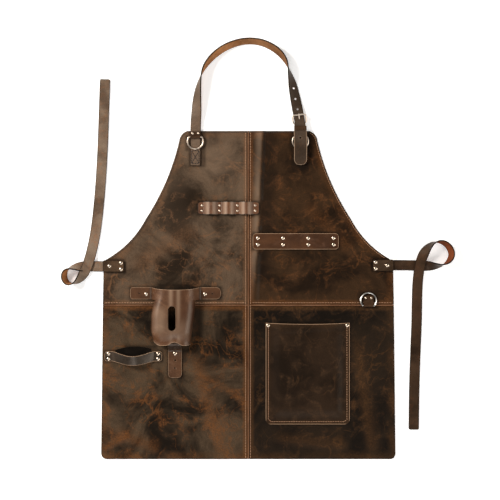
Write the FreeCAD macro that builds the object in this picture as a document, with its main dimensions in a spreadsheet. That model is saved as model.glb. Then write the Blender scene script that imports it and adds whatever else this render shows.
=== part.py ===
import FreeCAD, Part
import math
import os

# A leather tool apron lying flat with its grain side up: four panels joined by welted seams, a neck
# strap with a buckle, two waist ties, and riveted loops, rings, a tool holster and a pocket.
# Millimetres. +Y points to the neck strap, +Z away from the surface that the apron lies on, and the
# origin is on that surface at the middle of the apron, its free straps apart.

V = FreeCAD.Vector
TWIST_STEP_DEG = 8.0
TWIST_STEP_LENGTH = 12.0
RUN_SHARE = 0.45
LAYER_GAP = 0.05

# ---------------------------------------------------------------- driving dimensions

SIZES = [
    ("panel_thickness", 1.8, "leather of the four panels"),
    ("tape_thickness", 0.8, "seam tape and rivet backs under the panels"),
    ("tape_width", 16.0, "seam tape behind each seam"),
    ("welt_width", 3.0, "piping caught in the seams"),
    ("welt_proud", 0.8, "height of the piping above the panels"),
    ("strap_width", 21.0, "neck strap and waist ties"),
    ("strap_thickness", 2.4, "neck strap and waist ties"),
    ("strip_thickness", 2.0, "tool strips, towel loop and tie tabs"),
    ("holster_thickness", 2.4, "holster and its tongue"),
    ("holder_thickness", 1.2, "ring holders and strap keeper"),
    ("chape_thickness", 1.8, "short strap that holds the buckle"),
    ("pocket_thickness", 1.6, "pocket leather"),
    ("hem_half_width", 300.0, "half of the hem"),
    ("seam_half_width", 296.5, "half of the apron at the waist seam"),
    ("waist_half_width", 295.0, "half of the apron under the armholes"),
    ("bib_top", 317.0, "top edge of the bib"),
    ("hem", -351.6, "bottom edge of the skirt"),
    ("waist_corner", 50.0, "where the armholes meet the sides"),
    ("waist_seam", -38.0, "middle of the waist seam"),
    ("hem_corner", 11.0, "rounding of the bottom corners"),
    ("ring_wire", 1.5, "radius of the wire of the rings"),
    ("ring_bow", 15.85, "radius of the bow of a ring, to its wire's middle"),
    ("ring_bar_offset", 8.15, "from a shoulder ring's bar to the centre of its bow"),
    ("waist_bar_offset", 10.2, "from the waist ring's bar to the centre of its bow"),
    ("ring_corner", 3.0, "rounding between bar and bow"),
    ("ring_play", 0.2, "room round a ring's bar in its holder"),
    ("buckle_wire", 1.6, "radius of the wire of the buckle"),
    ("buckle_width", 26.4, "buckle frame, between the middles of its sides"),
    ("buckle_length", 17.4, "buckle frame, from heel bar to top bar"),
    ("buckle_corner", 3.5, "rounding of the buckle frame"),
    ("buckle_play", 0.3, "room round the heel bar in the chape"),
    ("prong_width", 2.3, "buckle prong"),
    ("prong_hub", 3.2, "outer radius of the prong's eye"),
    ("prong_eye", 1.75, "inner radius of the prong's eye"),
    ("post_radius", 1.25, "rivet post"),
    ("post_hole", 1.4, "hole for a rivet post"),
    ("cap_radius", 3.4, "rivet cap"),
    ("cap_height", 1.5, "rivet cap"),
    ("cap_rim", 0.4, "upright rim of a rivet cap"),
    ("small_cap_radius", 2.4, "cap of the rivets of the ring holders"),
    ("back_radius", 4.2, "disc at the back of a rivet"),
    ("upper_strip_width", 25.6, "strip of raised tool loops"),
    ("lower_strip_width", 32.4, "flat strip of tool loops"),
    ("towel_width", 20.0, "towel loop"),
    ("ear_width", 24.3, "ears of the holster"),
    ("holster_length", 117.6, "front of the holster"),
    ("holster_slot_width", 15.7, "slot in the holster"),
    ("tongue_width", 27.3, "tongue under the holster"),
    ("tab_width", 24.0, "tie tabs"),
    ("keeper_length", 8.6, "strap keeper, along the strap"),
    ("holder_width", 20.4, "ring holders"),
    ("chape_width", 20.6, "short strap at the buckle"),
    ("chape_sewn_width", 26.0, "short strap where it is sewn to the bib"),
    ("lining_thickness", 0.8, "lining behind the towel loop"),
    ("pocket_bulge", 5.0, "room inside the pocket"),
    ("pocket_flange", 8.5, "flat rim of the pocket"),
    ("strap_hole", 1.9, "adjusting holes of the neck strap, and holes of the tongue"),
    ("ear_hole", 1.5, "spare holes of the holster's ears"),
]

doc = FreeCAD.newDocument("ToolApron")
sheet = doc.addObject("Spreadsheet::Sheet", "Sizes")
for row, (alias, value, words) in enumerate(SIZES, 1):
    sheet.set(f"A{row}", words)
    sheet.set(f"B{row}", str(value))
    sheet.setAlias(f"B{row}", alias)
doc.recompute()


def size(alias):
    return float(sheet.get(alias))


PANEL_BOTTOM = size("tape_thickness")
PANEL_TOP = PANEL_BOTTOM + size("panel_thickness")
STRAP_TOP = PANEL_TOP + size("strap_thickness")
HALF_WELT = size("welt_width") / 2
SEAM_ABOVE = size("waist_seam") + HALF_WELT
SEAM_BELOW = size("waist_seam") - HALF_WELT

sub_parts = []


# ---------------------------------------------------------------- outlines

def closed_polygon(corners):
    points = [V(x, y, 0) for x, y in corners]
    return [Part.LineSegment(a, b) for a, b in zip(points, points[1:] + points[:1])]


def arc_through(start, middle, end):
    return Part.Arc(V(*start, 0), V(*middle, 0), V(*end, 0))


def line(start, end):
    return Part.LineSegment(V(*start, 0), V(*end, 0))


def rounded_rectangle(left, bottom, right, top, radius):
    """The edges of a rectangle with round corners, anticlockwise from its bottom side."""
    corners = [(left, bottom), (right, bottom), (right, top), (left, top)]
    return rounded_outline(corners, [radius] * 4)


def rounded_outline(corners, radii):
    """The edges of a closed polygon with a radius at each corner; a radius of 0 leaves it sharp."""
    edges, ends = [], []
    for i, (corner, radius) in enumerate(zip(corners, radii)):
        before = unit(corners[i - 1], corner)
        after = unit(corner, corners[(i + 1) % len(corners)])
        turn = turn_between(before, after)
        back = radius * math.tan(abs(turn) / 2)
        start = (corner[0] - before[0] * back, corner[1] - before[1] * back)
        end = (corner[0] + after[0] * back, corner[1] + after[1] * back)
        ends.append((start, end, corner, radius, turn))
    for i, (start, end, corner, radius, turn) in enumerate(ends):
        previous_end = ends[i - 1][1]
        if math.dist(previous_end, start) > 1e-6:
            edges.append(line(previous_end, start))
        if radius > 0:
            edges.append(arc_through(start, corner_middle(start, end, corner, radius, turn), end))
    return edges


def unit(start, end):
    length = math.dist(start, end)
    return ((end[0] - start[0]) / length, (end[1] - start[1]) / length)


def turn_between(before, after):
    """The signed angle from one direction to the next, positive to the left."""
    return math.atan2(
        before[0] * after[1] - before[1] * after[0],
        before[0] * after[0] + before[1] * after[1],
    )


def corner_middle(start, end, corner, radius, turn):
    """The middle of the arc that rounds a corner."""
    middle = ((start[0] + end[0]) / 2, (start[1] + end[1]) / 2)
    inward = unit(corner, middle)
    reach = radius / math.cos(turn / 2) - radius
    return (corner[0] + inward[0] * reach, corner[1] + inward[1] * reach)


def ribbon_outline(points, radii, thickness):
    """The edge-on outline of a strip of that thickness whose middle follows straight runs, rounded
    with a radius at each inner point."""
    runs = []
    start = points[0]
    for i in range(1, len(points) - 1):
        before, after = unit(points[i - 1], points[i]), unit(points[i], points[i + 1])
        turn = turn_between(before, after)
        back = radii[i - 1] * math.tan(abs(turn) / 2)
        enter = (points[i][0] - before[0] * back, points[i][1] - before[1] * back)
        leave = (points[i][0] + after[0] * back, points[i][1] + after[1] * back)
        side = 1 if turn > 0 else -1
        centre = (
            enter[0] - side * before[1] * radii[i - 1],
            enter[1] + side * before[0] * radii[i - 1],
        )
        runs.append(("line", start, enter, before))
        runs.append(("arc", enter, leave, centre, radii[i - 1], side, before, turn))
        start = leave
    runs.append(("line", start, points[-1], unit(points[-2], points[-1])))
    left = offset_edges(runs, thickness / 2)
    right = offset_edges(runs, -thickness / 2)
    far_cap = line(left[-1][1], right[-1][1])
    near_cap = line(right[0][0], left[0][0])
    return [e[2] for e in left] + [far_cap] + [e[2] for e in reversed(right)] + [near_cap]


def offset_edges(runs, distance):
    """Each run moved sideways, as (start, end, edge)."""
    edges = []
    for run in runs:
        if run[0] == "line":
            _, start, end, along = run
            shift = (-along[1] * distance, along[0] * distance)
            a = (start[0] + shift[0], start[1] + shift[1])
            b = (end[0] + shift[0], end[1] + shift[1])
            if math.dist(a, b) > 1e-6:
                edges.append((a, b, line(a, b)))
            continue
        _, enter, leave, centre, radius, side, before, turn = run
        share = (radius - side * distance) / radius
        half = turn / 2
        first = (enter[0] - centre[0], enter[1] - centre[1])
        cos_half, sin_half = math.cos(half), math.sin(half)
        middle = (
            first[0] * cos_half - first[1] * sin_half,
            first[0] * sin_half + first[1] * cos_half,
        )
        a, m, b = (
            (centre[0] + p[0] * share, centre[1] + p[1] * share)
            for p in (first, middle, (leave[0] - centre[0], leave[1] - centre[1]))
        )
        edges.append((a, b, arc_through(a, m, b)))
    return edges


# ---------------------------------------------------------------- features

def new_body(label, x=0.0, y=0.0, z=0.0, tilt_deg=0.0, turn_deg=0.0):
    """A sub-part with its own origin, tilted about its X axis and then turned about Z."""
    body = doc.addObject("PartDesign::Body", label)
    body.Label = label
    turned = FreeCAD.Rotation(V(0, 0, 1), turn_deg) * FreeCAD.Rotation(V(1, 0, 0), tilt_deg)
    body.Placement = FreeCAD.Placement(V(x, y, z), turned)
    sub_parts.append(body)
    return body


def sketch_on(body, role, edges):
    support = next(f for f in body.Origin.OriginFeatures if f.Role == role)
    sketch = body.newObject("Sketcher::SketchObject", body.Label + "_sketch")
    sketch.AttachmentSupport = [(support, "")]
    sketch.MapMode = "FlatFace"
    sketch.addGeometry(edges, False)
    return sketch


def pad(body, sketch, length, both_ways=False, backwards=False):
    """Extrudes a sketch by an expression over the cells of the sheet."""
    feature = body.newObject("PartDesign::Pad", body.Label + "_pad")
    feature.Profile = sketch
    feature.SideType = "Symmetric" if both_ways else "One side"
    feature.Reversed = backwards
    feature.setExpression("Length", length)
    return feature


def cut_through(body, role, edges):
    """Cuts edges' outline right through the body, both ways from the plane, and checks that it cut."""
    doc.recompute()
    before = body.Shape.Volume
    feature = body.newObject("PartDesign::Pocket", body.Label + "_cut")
    feature.Profile = sketch_on(body, role, edges)
    feature.Type = "ThroughAll"
    feature.SideType = "Symmetric"
    doc.recompute()
    if not body.Shape.Volume < before - 0.01:
        raise RuntimeError(f"the cut in {body.Label} removed nothing")
    return feature


def in_body(body, x, y):
    """A place in the apron's frame, in the frame of a body that isn't tilted."""
    place = body.Placement.inverse().multVec(V(x, y, 0))
    return V(place.x, place.y, 0)


def drill(body, places, radius="post_hole"):
    """Drills round holes along Z at places given in the apron's own frame."""
    circles = [Part.Circle(in_body(body, x, y), V(0, 0, 1), size(radius)) for x, y in places]
    return cut_through(body, "XY_Plane", circles)


def flat_piece(label, edges, thickness, z, x=0.0, y=0.0):
    """A flat piece cut to an outline and lying at height z."""
    body = new_body(label, x, y, z)
    pad(body, sketch_on(body, "XY_Plane", edges), thickness)
    return body


def folded_strip(label, plane, points, radii, thickness, width, x=0.0, y=0.0, z=0.0):
    """A strip seen edge-on in the plane, bent along its points, with its width across the plane."""
    body = new_body(label, x, y, z)
    outline = ribbon_outline(points, radii, size(thickness))
    pad(body, sketch_on(body, plane, outline), "Sizes." + width, both_ways=True)
    return body


def round_corners(body, radius):
    """Rounds the upright edges at the two ends of a strip that runs along X or Y."""
    doc.recompute()
    strip = body.Tip
    box = strip.Shape.BoundBox
    found = []
    for number, edge in enumerate(strip.Shape.Edges, 1):
        if len(edge.Vertexes) != 2:
            continue
        a, b = (v.Point for v in edge.Vertexes)
        upright = abs(a.x - b.x) < 1e-6 and abs(a.y - b.y) < 1e-6
        at_side = min(a.x - box.XMin, box.XMax - a.x) < 0.01
        at_end = min(a.y - box.YMin, box.YMax - a.y) < 0.01
        if upright and at_side and at_end:
            found.append(f"Edge{number}")
    feature = body.newObject("PartDesign::Fillet", body.Label + "_corners")
    feature.Base = (strip, found)
    feature.Radius = radius
    doc.recompute()
    return feature


def part_feature(label, shape):
    """A sub-part whose shape no sketch feature fits: a twisted strap or a group of rivets."""
    feature = doc.addObject("Part::Feature", label)
    feature.Label = label
    feature.Shape = shape
    feature.Placement = FreeCAD.Placement()
    sub_parts.append(feature)
    return feature


# ---------------------------------------------------------------- panels, seams and tapes

BIB_CORNER = [(124.5, size("bib_top")), (135.5, 309.5), (141.0, 296.0)]
ARMHOLE = [(141.0, 296.0), (166.5, 217.0), (208.8, 137.7), (245.0, 88.5)]
ARMHOLE_END = (290.0, 55.0)


def bib_outline(side):
    """Half of the bib, from the centre seam to one armhole; side is -1 for left and 1 for right."""
    def at(point):
        return (side * point[0], point[1])

    inner, top = HALF_WELT, size("bib_top")
    waist = (size("waist_half_width"), size("waist_corner"))
    corners = [
        line(at((inner, SEAM_ABOVE)), at((inner, top))),
        line(at((inner, top)), at(BIB_CORNER[0])),
        arc_through(*(at(p) for p in BIB_CORNER)),
        arc_through(*(at(p) for p in ARMHOLE[:3])),
        arc_through(at(ARMHOLE[2]), at(ARMHOLE[3]), at(ARMHOLE_END)),
        line(at(ARMHOLE_END), at(waist)),
        line(at(waist), at((size("seam_half_width"), SEAM_ABOVE))),
        line(at((size("seam_half_width"), SEAM_ABOVE)), at((inner, SEAM_ABOVE))),
    ]
    return corners


def skirt_outline(side):
    corners = [
        (side * HALF_WELT, SEAM_BELOW),
        (side * HALF_WELT, size("hem")),
        (side * size("hem_half_width"), size("hem")),
        (side * size("seam_half_width"), SEAM_BELOW),
    ]
    return rounded_outline(corners, [0, 0, size("hem_corner"), 0])


def panel(label, edges):
    return flat_piece(label, edges, "Sizes.panel_thickness", PANEL_BOTTOM)


def bar_outline(left, bottom, right, top):
    return closed_polygon([(left, bottom), (right, bottom), (right, top), (left, top)])


bib_left = panel("bib_panel_left", bib_outline(-1))
bib_right = panel("bib_panel_right", bib_outline(1))
skirt_left = panel("skirt_panel_left", skirt_outline(-1))
skirt_right = panel("skirt_panel_right", skirt_outline(1))

WELT_HEIGHT = "Sizes.panel_thickness + Sizes.welt_proud"
HALF_TAPE = size("tape_width") / 2
side_end = size("seam_half_width")
flat_piece(
    "centre_seam_welt",
    bar_outline(-HALF_WELT, size("hem"), HALF_WELT, size("bib_top")),
    WELT_HEIGHT,
    PANEL_BOTTOM,
)
flat_piece(
    "centre_seam_tape",
    bar_outline(-HALF_TAPE, size("hem") + 2, HALF_TAPE, size("bib_top") - 2),
    "Sizes.tape_thickness",
    0.0,
)
for side, name in ((-1, "left"), (1, "right")):
    ends = sorted((side * HALF_WELT, side * side_end))
    flat_piece(
        f"waist_seam_welt_{name}",
        bar_outline(ends[0], SEAM_BELOW, ends[1], SEAM_ABOVE),
        WELT_HEIGHT,
        PANEL_BOTTOM,
    )
    ends = sorted((side * HALF_TAPE, side * (side_end - 2)))
    flat_piece(
        f"waist_seam_tape_{name}",
        bar_outline(
            ends[0],
            size("waist_seam") - HALF_TAPE,
            ends[1],
            size("waist_seam") + HALF_TAPE,
        ),
        "Sizes.tape_thickness",
        0.0,
    )


# ---------------------------------------------------------------- rivets

def rivet(x, y, seat, cap_radius):
    """One double-cap rivet: a disc at the back, a post and a domed cap that sits at height seat."""
    rim, height = size("cap_rim"), size("cap_height")
    dome = height - rim
    ball_radius = (cap_radius**2 + dome**2) / (2 * dome)
    back = Part.makeCylinder(size("back_radius"), size("tape_thickness"), V(x, y, 0))
    post = Part.makeCylinder(size("post_radius"), seat + rim / 2, V(x, y, 0))
    cap = Part.makeCylinder(cap_radius, height, V(x, y, seat))
    ball = Part.makeSphere(ball_radius, V(x, y, seat + height - ball_radius))
    return back.multiFuse([post, cap.common(ball)]).removeSplitter().Solids[0]


def rivets(label, places, seat, cap="cap_radius"):
    solids = [rivet(x, y, seat, size(cap)) for x, y in places]
    return part_feature(label, Part.makeCompound(solids))


# ---------------------------------------------------------------- straps that lie free

def strap_stations(route):
    """The middle line of a strap, as (point, direction, roll) at close steps. Each inner point of the
    route is rounded with a tangent arc that takes RUN_SHARE of its shorter run. roll lifts the
    strap's left edge, in degrees, and changes evenly along the line."""
    points = [V(*entry[:3]) for entry in route]
    line_points = [(points[0], points[1] - points[0], 0)]
    radii = []
    for i in range(1, len(points) - 1):
        before, after = points[i] - points[i - 1], points[i + 1] - points[i]
        turn = before.getAngle(after)
        back = RUN_SHARE * min(before.Length, after.Length)
        radius = back / math.tan(turn / 2)
        radii.append(radius)
        before.normalize()
        after.normalize()
        enter = points[i] - before * back
        inward = (after - before).normalize()
        centre = points[i] + inward * (radius / math.cos(turn / 2))
        steps = max(2, 2 * math.ceil(math.degrees(turn) / TWIST_STEP_DEG / 2))
        for k in range(steps + 1):
            angle = turn * k / steps
            out = (enter - centre) * math.cos(angle) + before * (radius * math.sin(angle))
            along = before * math.cos(angle) + inward_side(before, after) * math.sin(angle)
            line_points.append((centre + out, along, i if k == steps // 2 else None))
    last = points[-1] - points[-2]
    line_points.append((points[-1], last, len(points) - 1))
    print("  radii", " ".join(f"{r:.0f}" for r in radii))
    return spread_roll(line_points, [entry[3] for entry in route])


def inward_side(before, after):
    """The unit direction square to before, in its plane with after, on after's side."""
    side = after - before * before.dot(after)
    return side.normalize()


def spread_roll(line_points, rolls):
    """Gives each point of the line a roll between those of the route's points around it, and adds
    points on long twisted runs."""
    length, travelled = 0.0, [0.0]
    for (a, _, _), (b, _, _) in zip(line_points, line_points[1:]):
        length += (b - a).Length
        travelled.append(length)
    known = [(travelled[n], rolls[p[2]]) for n, p in enumerate(line_points) if p[2] is not None]
    stations = []
    for n, (point, along, _) in enumerate(line_points):
        if n:
            gap = travelled[n] - travelled[n - 1]
            parts = max(1, math.ceil(gap / TWIST_STEP_LENGTH))
            twist = abs(between(known, travelled[n]) - between(known, travelled[n - 1]))
            for k in range(1, parts if twist > 1 else 1):
                share = k / parts
                middle = line_points[n - 1][0] * (1 - share) + point * share
                at = travelled[n - 1] + gap * share
                stations.append((middle, point - line_points[n - 1][0], between(known, at)))
        stations.append((point, along, between(known, travelled[n])))
    return stations


def between(known, at):
    for (a, roll_a), (b, roll_b) in zip(known, known[1:]):
        if at <= b:
            share = (at - a) / (b - a)
            return roll_a + (roll_b - roll_a) * share
    return known[-1][1]


def strap_section(point, along, roll, width, thickness):
    """The strap's rectangular section: its left edge is lifted by roll about its direction."""
    along = V(along).normalize()
    left = V(0, 0, 1).cross(along).normalize()
    up = along.cross(left)
    angle = math.radians(roll)
    across = left * math.cos(angle) + up * math.sin(angle)
    face = along.cross(across)
    corners = [
        point + across * (a * width / 2) + face * (b * thickness / 2)
        for a, b in ((-1, -1), (1, -1), (1, 1), (-1, 1))
    ]
    return Part.makePolygon(corners + corners[:1])


def lying_strap(label, route, holes=()):
    """A flat strap along a route of straight runs and tangent arcs, twisting as the route says. holes
    are upright solids to cut from it."""
    stations = strap_stations(route)
    width, thickness = size("strap_width"), size("strap_thickness")
    wires = [strap_section(p, d, r, width, thickness) for p, d, r in stations]
    solid = Part.makeLoft(wires, True, True)
    length = sum((b[0] - a[0]).Length for a, b in zip(stations, stations[1:]))
    share = solid.Volume / (width * thickness * length)
    print(f"{label}: length {length:.1f}")
    if not 0.97 < share < 1.03:
        raise RuntimeError(f"{label} does not have the volume of its section times its length")
    for hole in holes:
        solid = solid.cut(hole)
    return part_feature(label, solid)


def upright_hole(x, y, radius):
    return Part.makeCylinder(radius, 30, V(x, y, -5))


def upright_slot(x, y, low, high, width, turn_deg):
    """A slot that runs from low to high along a direction turned about the place x, y."""
    slot = Part.makeBox(width, high - low, 30, V(x - width / 2, y + low, -5))
    slot.rotate(V(x, y, 0), V(0, 0, 1), turn_deg)
    return slot


# Each point is x, y, z and roll. The ties run out from under their tabs along the table, twist onto
# their edge round a small loop that leans outwards, and cross over themselves on the way back.
TIE_LEFT_ROUTE = [
    (-256.0, 41.7, 3.8, 0),
    (-271.0, 41.45, 3.8, 0),
    (-287.5, 41.3, 3.8, 0),
    (-304.5, 41.2, 3.8, 0),
    (-317.5, 41.3, 1.9, 0),
    (-332.0, 41.2, 1.8, 2),
    (-348.5, 39.9, 9.4, 52),
    (-363.0, 38.6, 11.0, 80),
    (-373.0, 32.0, 10.7, 110),
    (-375.4, 17.5, 10.3, 118),
    (-367.5, 5.0, 10.7, 110),
    (-354.0, 6.0, 11.0, 84),
    (-342.0, 16.0, 9.4, 50),
    (-331.5, 32.5, 6.6, 8),
    (-324.0, 53.0, 5.4, 0),
    (-317.0, 80.6, 2.0, 0),
    (-310.2, 117.0, 1.4, 0),
    (-304.7, 166.0, 1.4, 0),
    (-300.2, 221.0, 1.4, 0),
    (-296.9, 278.5, 1.4, 0),
    (-294.5, 350.0, 1.4, 0),
    (-292.0, 422.7, 1.4, 0),
]
TIE_RIGHT_ROUTE = [
    (256.0, 43.2, 3.8, 0),
    (271.0, 43.45, 3.8, 0),
    (287.5, 43.6, 3.8, 0),
    (304.5, 43.65, 3.8, 0),
    (318.0, 43.5, 1.8, 0),
    (337.0, 43.2, 1.6, 0),
    (357.5, 42.5, 1.8, 2),
    (377.5, 41.8, 9.4, 52),
    (394.0, 42.6, 11.0, 80),
    (408.6, 51.0, 10.7, 110),
    (415.2, 66.5, 10.3, 118),
    (407.5, 83.5, 10.4, 117),
    (392.0, 92.6, 10.7, 108),
    (376.5, 90.0, 11.0, 84),
    (363.5, 78.0, 9.4, 50),
    (353.5, 60.0, 6.6, 8),
    (348.4, 39.0, 5.4, 0),
    (345.1, 11.2, 2.0, 0),
    (343.9, -21.4, 1.4, 0),
    (343.2, -76.5, 1.4, 0),
    (340.6, -133.6, 1.4, 0),
    (337.9, -213.2, 1.4, 0),
    (337.3, -291.7, 1.4, 0),
]
# The neck strap is sewn to the bib on the left, twists onto its edge for the arch, and comes down
# flat through the buckle and the keeper to its free end.
NECK_ROUTE = [
    (-108.2, 246.0, 3.8, 0),
    (-107.8, 273.0, 3.8, 0),
    (-107.5, 301.0, 3.8, 0),
    (-107.2, 331.0, 3.8, 0),
    (-105.6, 352.0, 5.0, -18),
    (-104.6, 376.0, 7.8, -37),
    (-102.4, 399.0, 9.7, -55),
    (-98.8, 419.0, 10.8, -75),
    (-94.4, 436.0, 11.0, -92),
    (-86.5, 451.5, 10.8, -107),
    (-72.5, 468.5, 10.5, -116),
    (-49.5, 486.0, 10.4, -119),
    (-22.0, 496.8, 10.4, -117),
    (2.0, 500.2, 10.4, -115),
    (27.0, 497.2, 10.4, -117),
    (49.5, 487.0, 10.4, -119),
    (65.8, 474.0, 10.5, -116),
    (76.0, 460.0, 10.8, -106),
    (81.4, 445.5, 11.0, -88),
    (85.6, 429.0, 10.4, -65),
    (90.4, 410.0, 7.9, -38),
    (96.2, 381.0, 4.8, -18),
    (99.4, 365.0, 4.2, -5),
    (102.2, 350.5, 4.9, 0),
    (104.9, 332.5, 12.5, 0),
    (105.4, 319.0, 10.8, 0),
    (106.0, 302.5, 12.5, 0),
    (106.3, 283.0, 11.2, 0),
    (106.3, 265.5, 8.7, 0),
    (106.1, 248.0, 5.9, 0),
]

# ---------------------------------------------------------------- waist ties with their tabs

TIE_RIVET_SPREAD = 6.5
TIE_RIVET_PAIR = 259.2
TIE_RIVET_SINGLE = 282.8
TAB_INNER, TAB_OUTER = 253.3, 295.9
tie_sides = {
    "left": (-1, TIE_LEFT_ROUTE, bib_left),
    "right": (1, TIE_RIGHT_ROUTE, bib_right),
}
for name, (side, route, bib) in tie_sides.items():
    middle = route[0][1]
    places = [
        (side * TIE_RIVET_PAIR, middle + TIE_RIVET_SPREAD),
        (side * TIE_RIVET_PAIR, middle - TIE_RIVET_SPREAD),
        (side * TIE_RIVET_SINGLE, middle),
    ]
    holes = [upright_hole(x, y, size("post_hole")) for x, y in places]
    lying_strap(f"waist_tie_{name}", route, holes)
    left, right = sorted((side * TAB_INNER, side * TAB_OUTER))
    half = size("tab_width") / 2
    tab = flat_piece(
        f"tie_tab_{name}",
        rounded_rectangle(left, middle - half, right, middle + half, 3.5),
        "Sizes.strip_thickness",
        STRAP_TOP,
    )
    drill(tab, places)
    drill(bib, places)
    rivets(f"tie_rivets_{name}", places, STRAP_TOP + size("strip_thickness"))


# ---------------------------------------------------------------- rings and their holders

def ring(label, x, y, z, towards, tilt_deg, offset):
    """A D-shaped ring: a straight bar through the body's origin along X and a bow towards +Y or -Y,
    its centre at offset from the bar."""
    bow, corner = size("ring_bow"), size("ring_corner")
    reach = math.sqrt((bow - corner) ** 2 - (offset - corner) ** 2)
    share = bow / (bow - corner)
    touch = (reach * share, offset + (corner - offset) * share)
    half_turn = turn_between((0, -1), unit((reach, corner), touch)) / 2
    knee = (
        reach + corner * math.sin(half_turn),
        corner - corner * math.cos(half_turn),
    )

    def at(px, py):
        return (px, towards * py)

    edges = [
        line(at(0, 0), at(reach, 0)),
        arc_through(at(reach, 0), at(*knee), at(*touch)),
        arc_through(at(*touch), at(0, offset + bow), at(-touch[0], touch[1])),
        arc_through(at(-touch[0], touch[1]), at(-knee[0], knee[1]), at(-reach, 0)),
        line(at(-reach, 0), at(0, 0)),
    ]
    return wire_loop(label, edges, "ring_wire", x, y, z, tilt_deg)


def wire_loop(label, edges, wire_radius, x, y, z, tilt_deg, turn_deg=0.0):
    """Round wire bent along closed edges that start at the body's origin and run along X there."""
    body = new_body(label, x, y, z, tilt_deg, turn_deg)
    path = sketch_on(body, "XY_Plane", edges)
    radius = size(wire_radius)
    section = sketch_on(body, "YZ_Plane", [Part.Circle(V(0, 0, 0), V(0, 0, 1), radius)])
    pipe = body.newObject("PartDesign::AdditivePipe", label + "_pipe")
    pipe.Profile = section
    pipe.Spine = (path, [f"Edge{n}" for n in range(1, len(edges) + 1)])
    return body


RING_RIVET_SPREAD = 5.8


def holder(label, x, y, base, rivet_reach, end_reach):
    """A strip folded round a ring's bar, with both layers riveted down towards +Y. Gives back where
    its rivets go and the height that they sit at."""
    thickness = size("holder_thickness")
    fold = size("ring_wire") + size("ring_play") + thickness / 2
    upper = -fold + thickness + LAYER_GAP
    points = [
        (end_reach, -fold),
        (-fold, -fold),
        (-fold, fold),
        (1.0, fold),
        (4.6, upper),
        (end_reach, upper),
    ]
    radii = [fold - 1e-4, fold - 1e-4, 0.9, 0.9]
    body = folded_strip(
        label,
        "YZ_Plane",
        points,
        radii,
        "holder_thickness",
        "holder_width",
        x,
        y,
        base + thickness / 2 + fold,
    )
    places = [(x - RING_RIVET_SPREAD, y + rivet_reach), (x + RING_RIVET_SPREAD, y + rivet_reach)]
    drill(body, places)
    return places, base + 2 * thickness + LAYER_GAP


SHOULDER_X_LEFT, SHOULDER_X_RIGHT = -108.0, 106.0
SHOULDER_BAR_Y = 304.4
WAIST_RING_X, WAIST_RING_Y = 244.6, -38.6
SHOULDER_RIVET_REACH, SHOULDER_HOLDER_END = 7.7, 11.2
WAIST_RIVET_REACH, WAIST_HOLDER_END = 15.4, 19.6
CHAPE_TOP = PANEL_TOP + size("chape_thickness")
HOLDER_ABOVE_WELT = PANEL_TOP + size("welt_proud") + 0.1
fold_height = size("holder_thickness") + size("ring_play") + size("ring_wire")
REST_GAP = 0.15


def resting_ring(label, x, y, towards, base, surface, offset):
    """A ring whose holder stands at height base, leaning until its bow touches the surface."""
    drop = base + fold_height - (surface + size("ring_wire") + REST_GAP)
    tilt = math.degrees(math.asin(drop / (offset + size("ring_bow"))))
    return ring(label, x, y, base + fold_height, towards, -towards * tilt, offset)


shoulder_offset = size("ring_bar_offset")
resting_ring(
    "shoulder_ring_left", SHOULDER_X_LEFT, SHOULDER_BAR_Y, -1, STRAP_TOP, STRAP_TOP, shoulder_offset
)
resting_ring(
    "shoulder_ring_right", SHOULDER_X_RIGHT, SHOULDER_BAR_Y, -1, CHAPE_TOP, CHAPE_TOP, shoulder_offset
)
resting_ring(
    "waist_ring", WAIST_RING_X, WAIST_RING_Y, 1, HOLDER_ABOVE_WELT, PANEL_TOP, size("waist_bar_offset")
)

left_places, left_seat = holder(
    "ring_holder_left",
    SHOULDER_X_LEFT,
    SHOULDER_BAR_Y,
    STRAP_TOP,
    SHOULDER_RIVET_REACH,
    SHOULDER_HOLDER_END,
)
right_places, right_seat = holder(
    "ring_holder_right",
    SHOULDER_X_RIGHT,
    SHOULDER_BAR_Y,
    CHAPE_TOP,
    SHOULDER_RIVET_REACH,
    SHOULDER_HOLDER_END,
)
waist_places, waist_seat = holder(
    "ring_holder_waist",
    WAIST_RING_X,
    WAIST_RING_Y,
    HOLDER_ABOVE_WELT,
    WAIST_RIVET_REACH,
    WAIST_HOLDER_END,
)
drill(bib_left, left_places)
drill(bib_right, right_places + waist_places)
rivets("ring_rivets_left", left_places, left_seat, "small_cap_radius")
rivets("ring_rivets_right", right_places, right_seat, "small_cap_radius")
rivets("ring_rivets_waist", waist_places, waist_seat, "small_cap_radius")

# ---------------------------------------------------------------- buckle, chape, keeper, neck strap

BUCKLE_X = 104.9
HEEL_Y = 332.5
BUCKLE_TILT = 9.5
BUCKLE_TURN = 7.0
CHAPE_SEWN_END = -54.5
CHAPE_RETURN = -14.0
CHAPE_SHOULDER_Y = 312.0
PRONG_LENGTH = 20.2
PRONG_RISE = 2.95
chape_fold = size("buckle_wire") + size("buckle_play") + size("chape_thickness") / 2
HEEL_Z = PANEL_TOP + size("chape_thickness") / 2 + chape_fold
chape_upper = -chape_fold + size("chape_thickness") + LAYER_GAP

chape = new_body("buckle_chape", BUCKLE_X, HEEL_Y, HEEL_Z, turn_deg=BUCKLE_TURN)
chape_path = [
    (CHAPE_SEWN_END, -chape_fold),
    (chape_fold, -chape_fold),
    (chape_fold, chape_fold),
    (-0.9, chape_fold),
    (-5.9, chape_upper),
    (CHAPE_RETURN, chape_upper),
]
fold_radius = chape_fold - 1e-4
chape_edges = ribbon_outline(
    chape_path, [fold_radius, fold_radius, 1.3, 1.3], size("chape_thickness")
)
pad(chape, sketch_on(chape, "YZ_Plane", chape_edges), "Sizes.chape_sewn_width + 12", both_ways=True)


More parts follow.
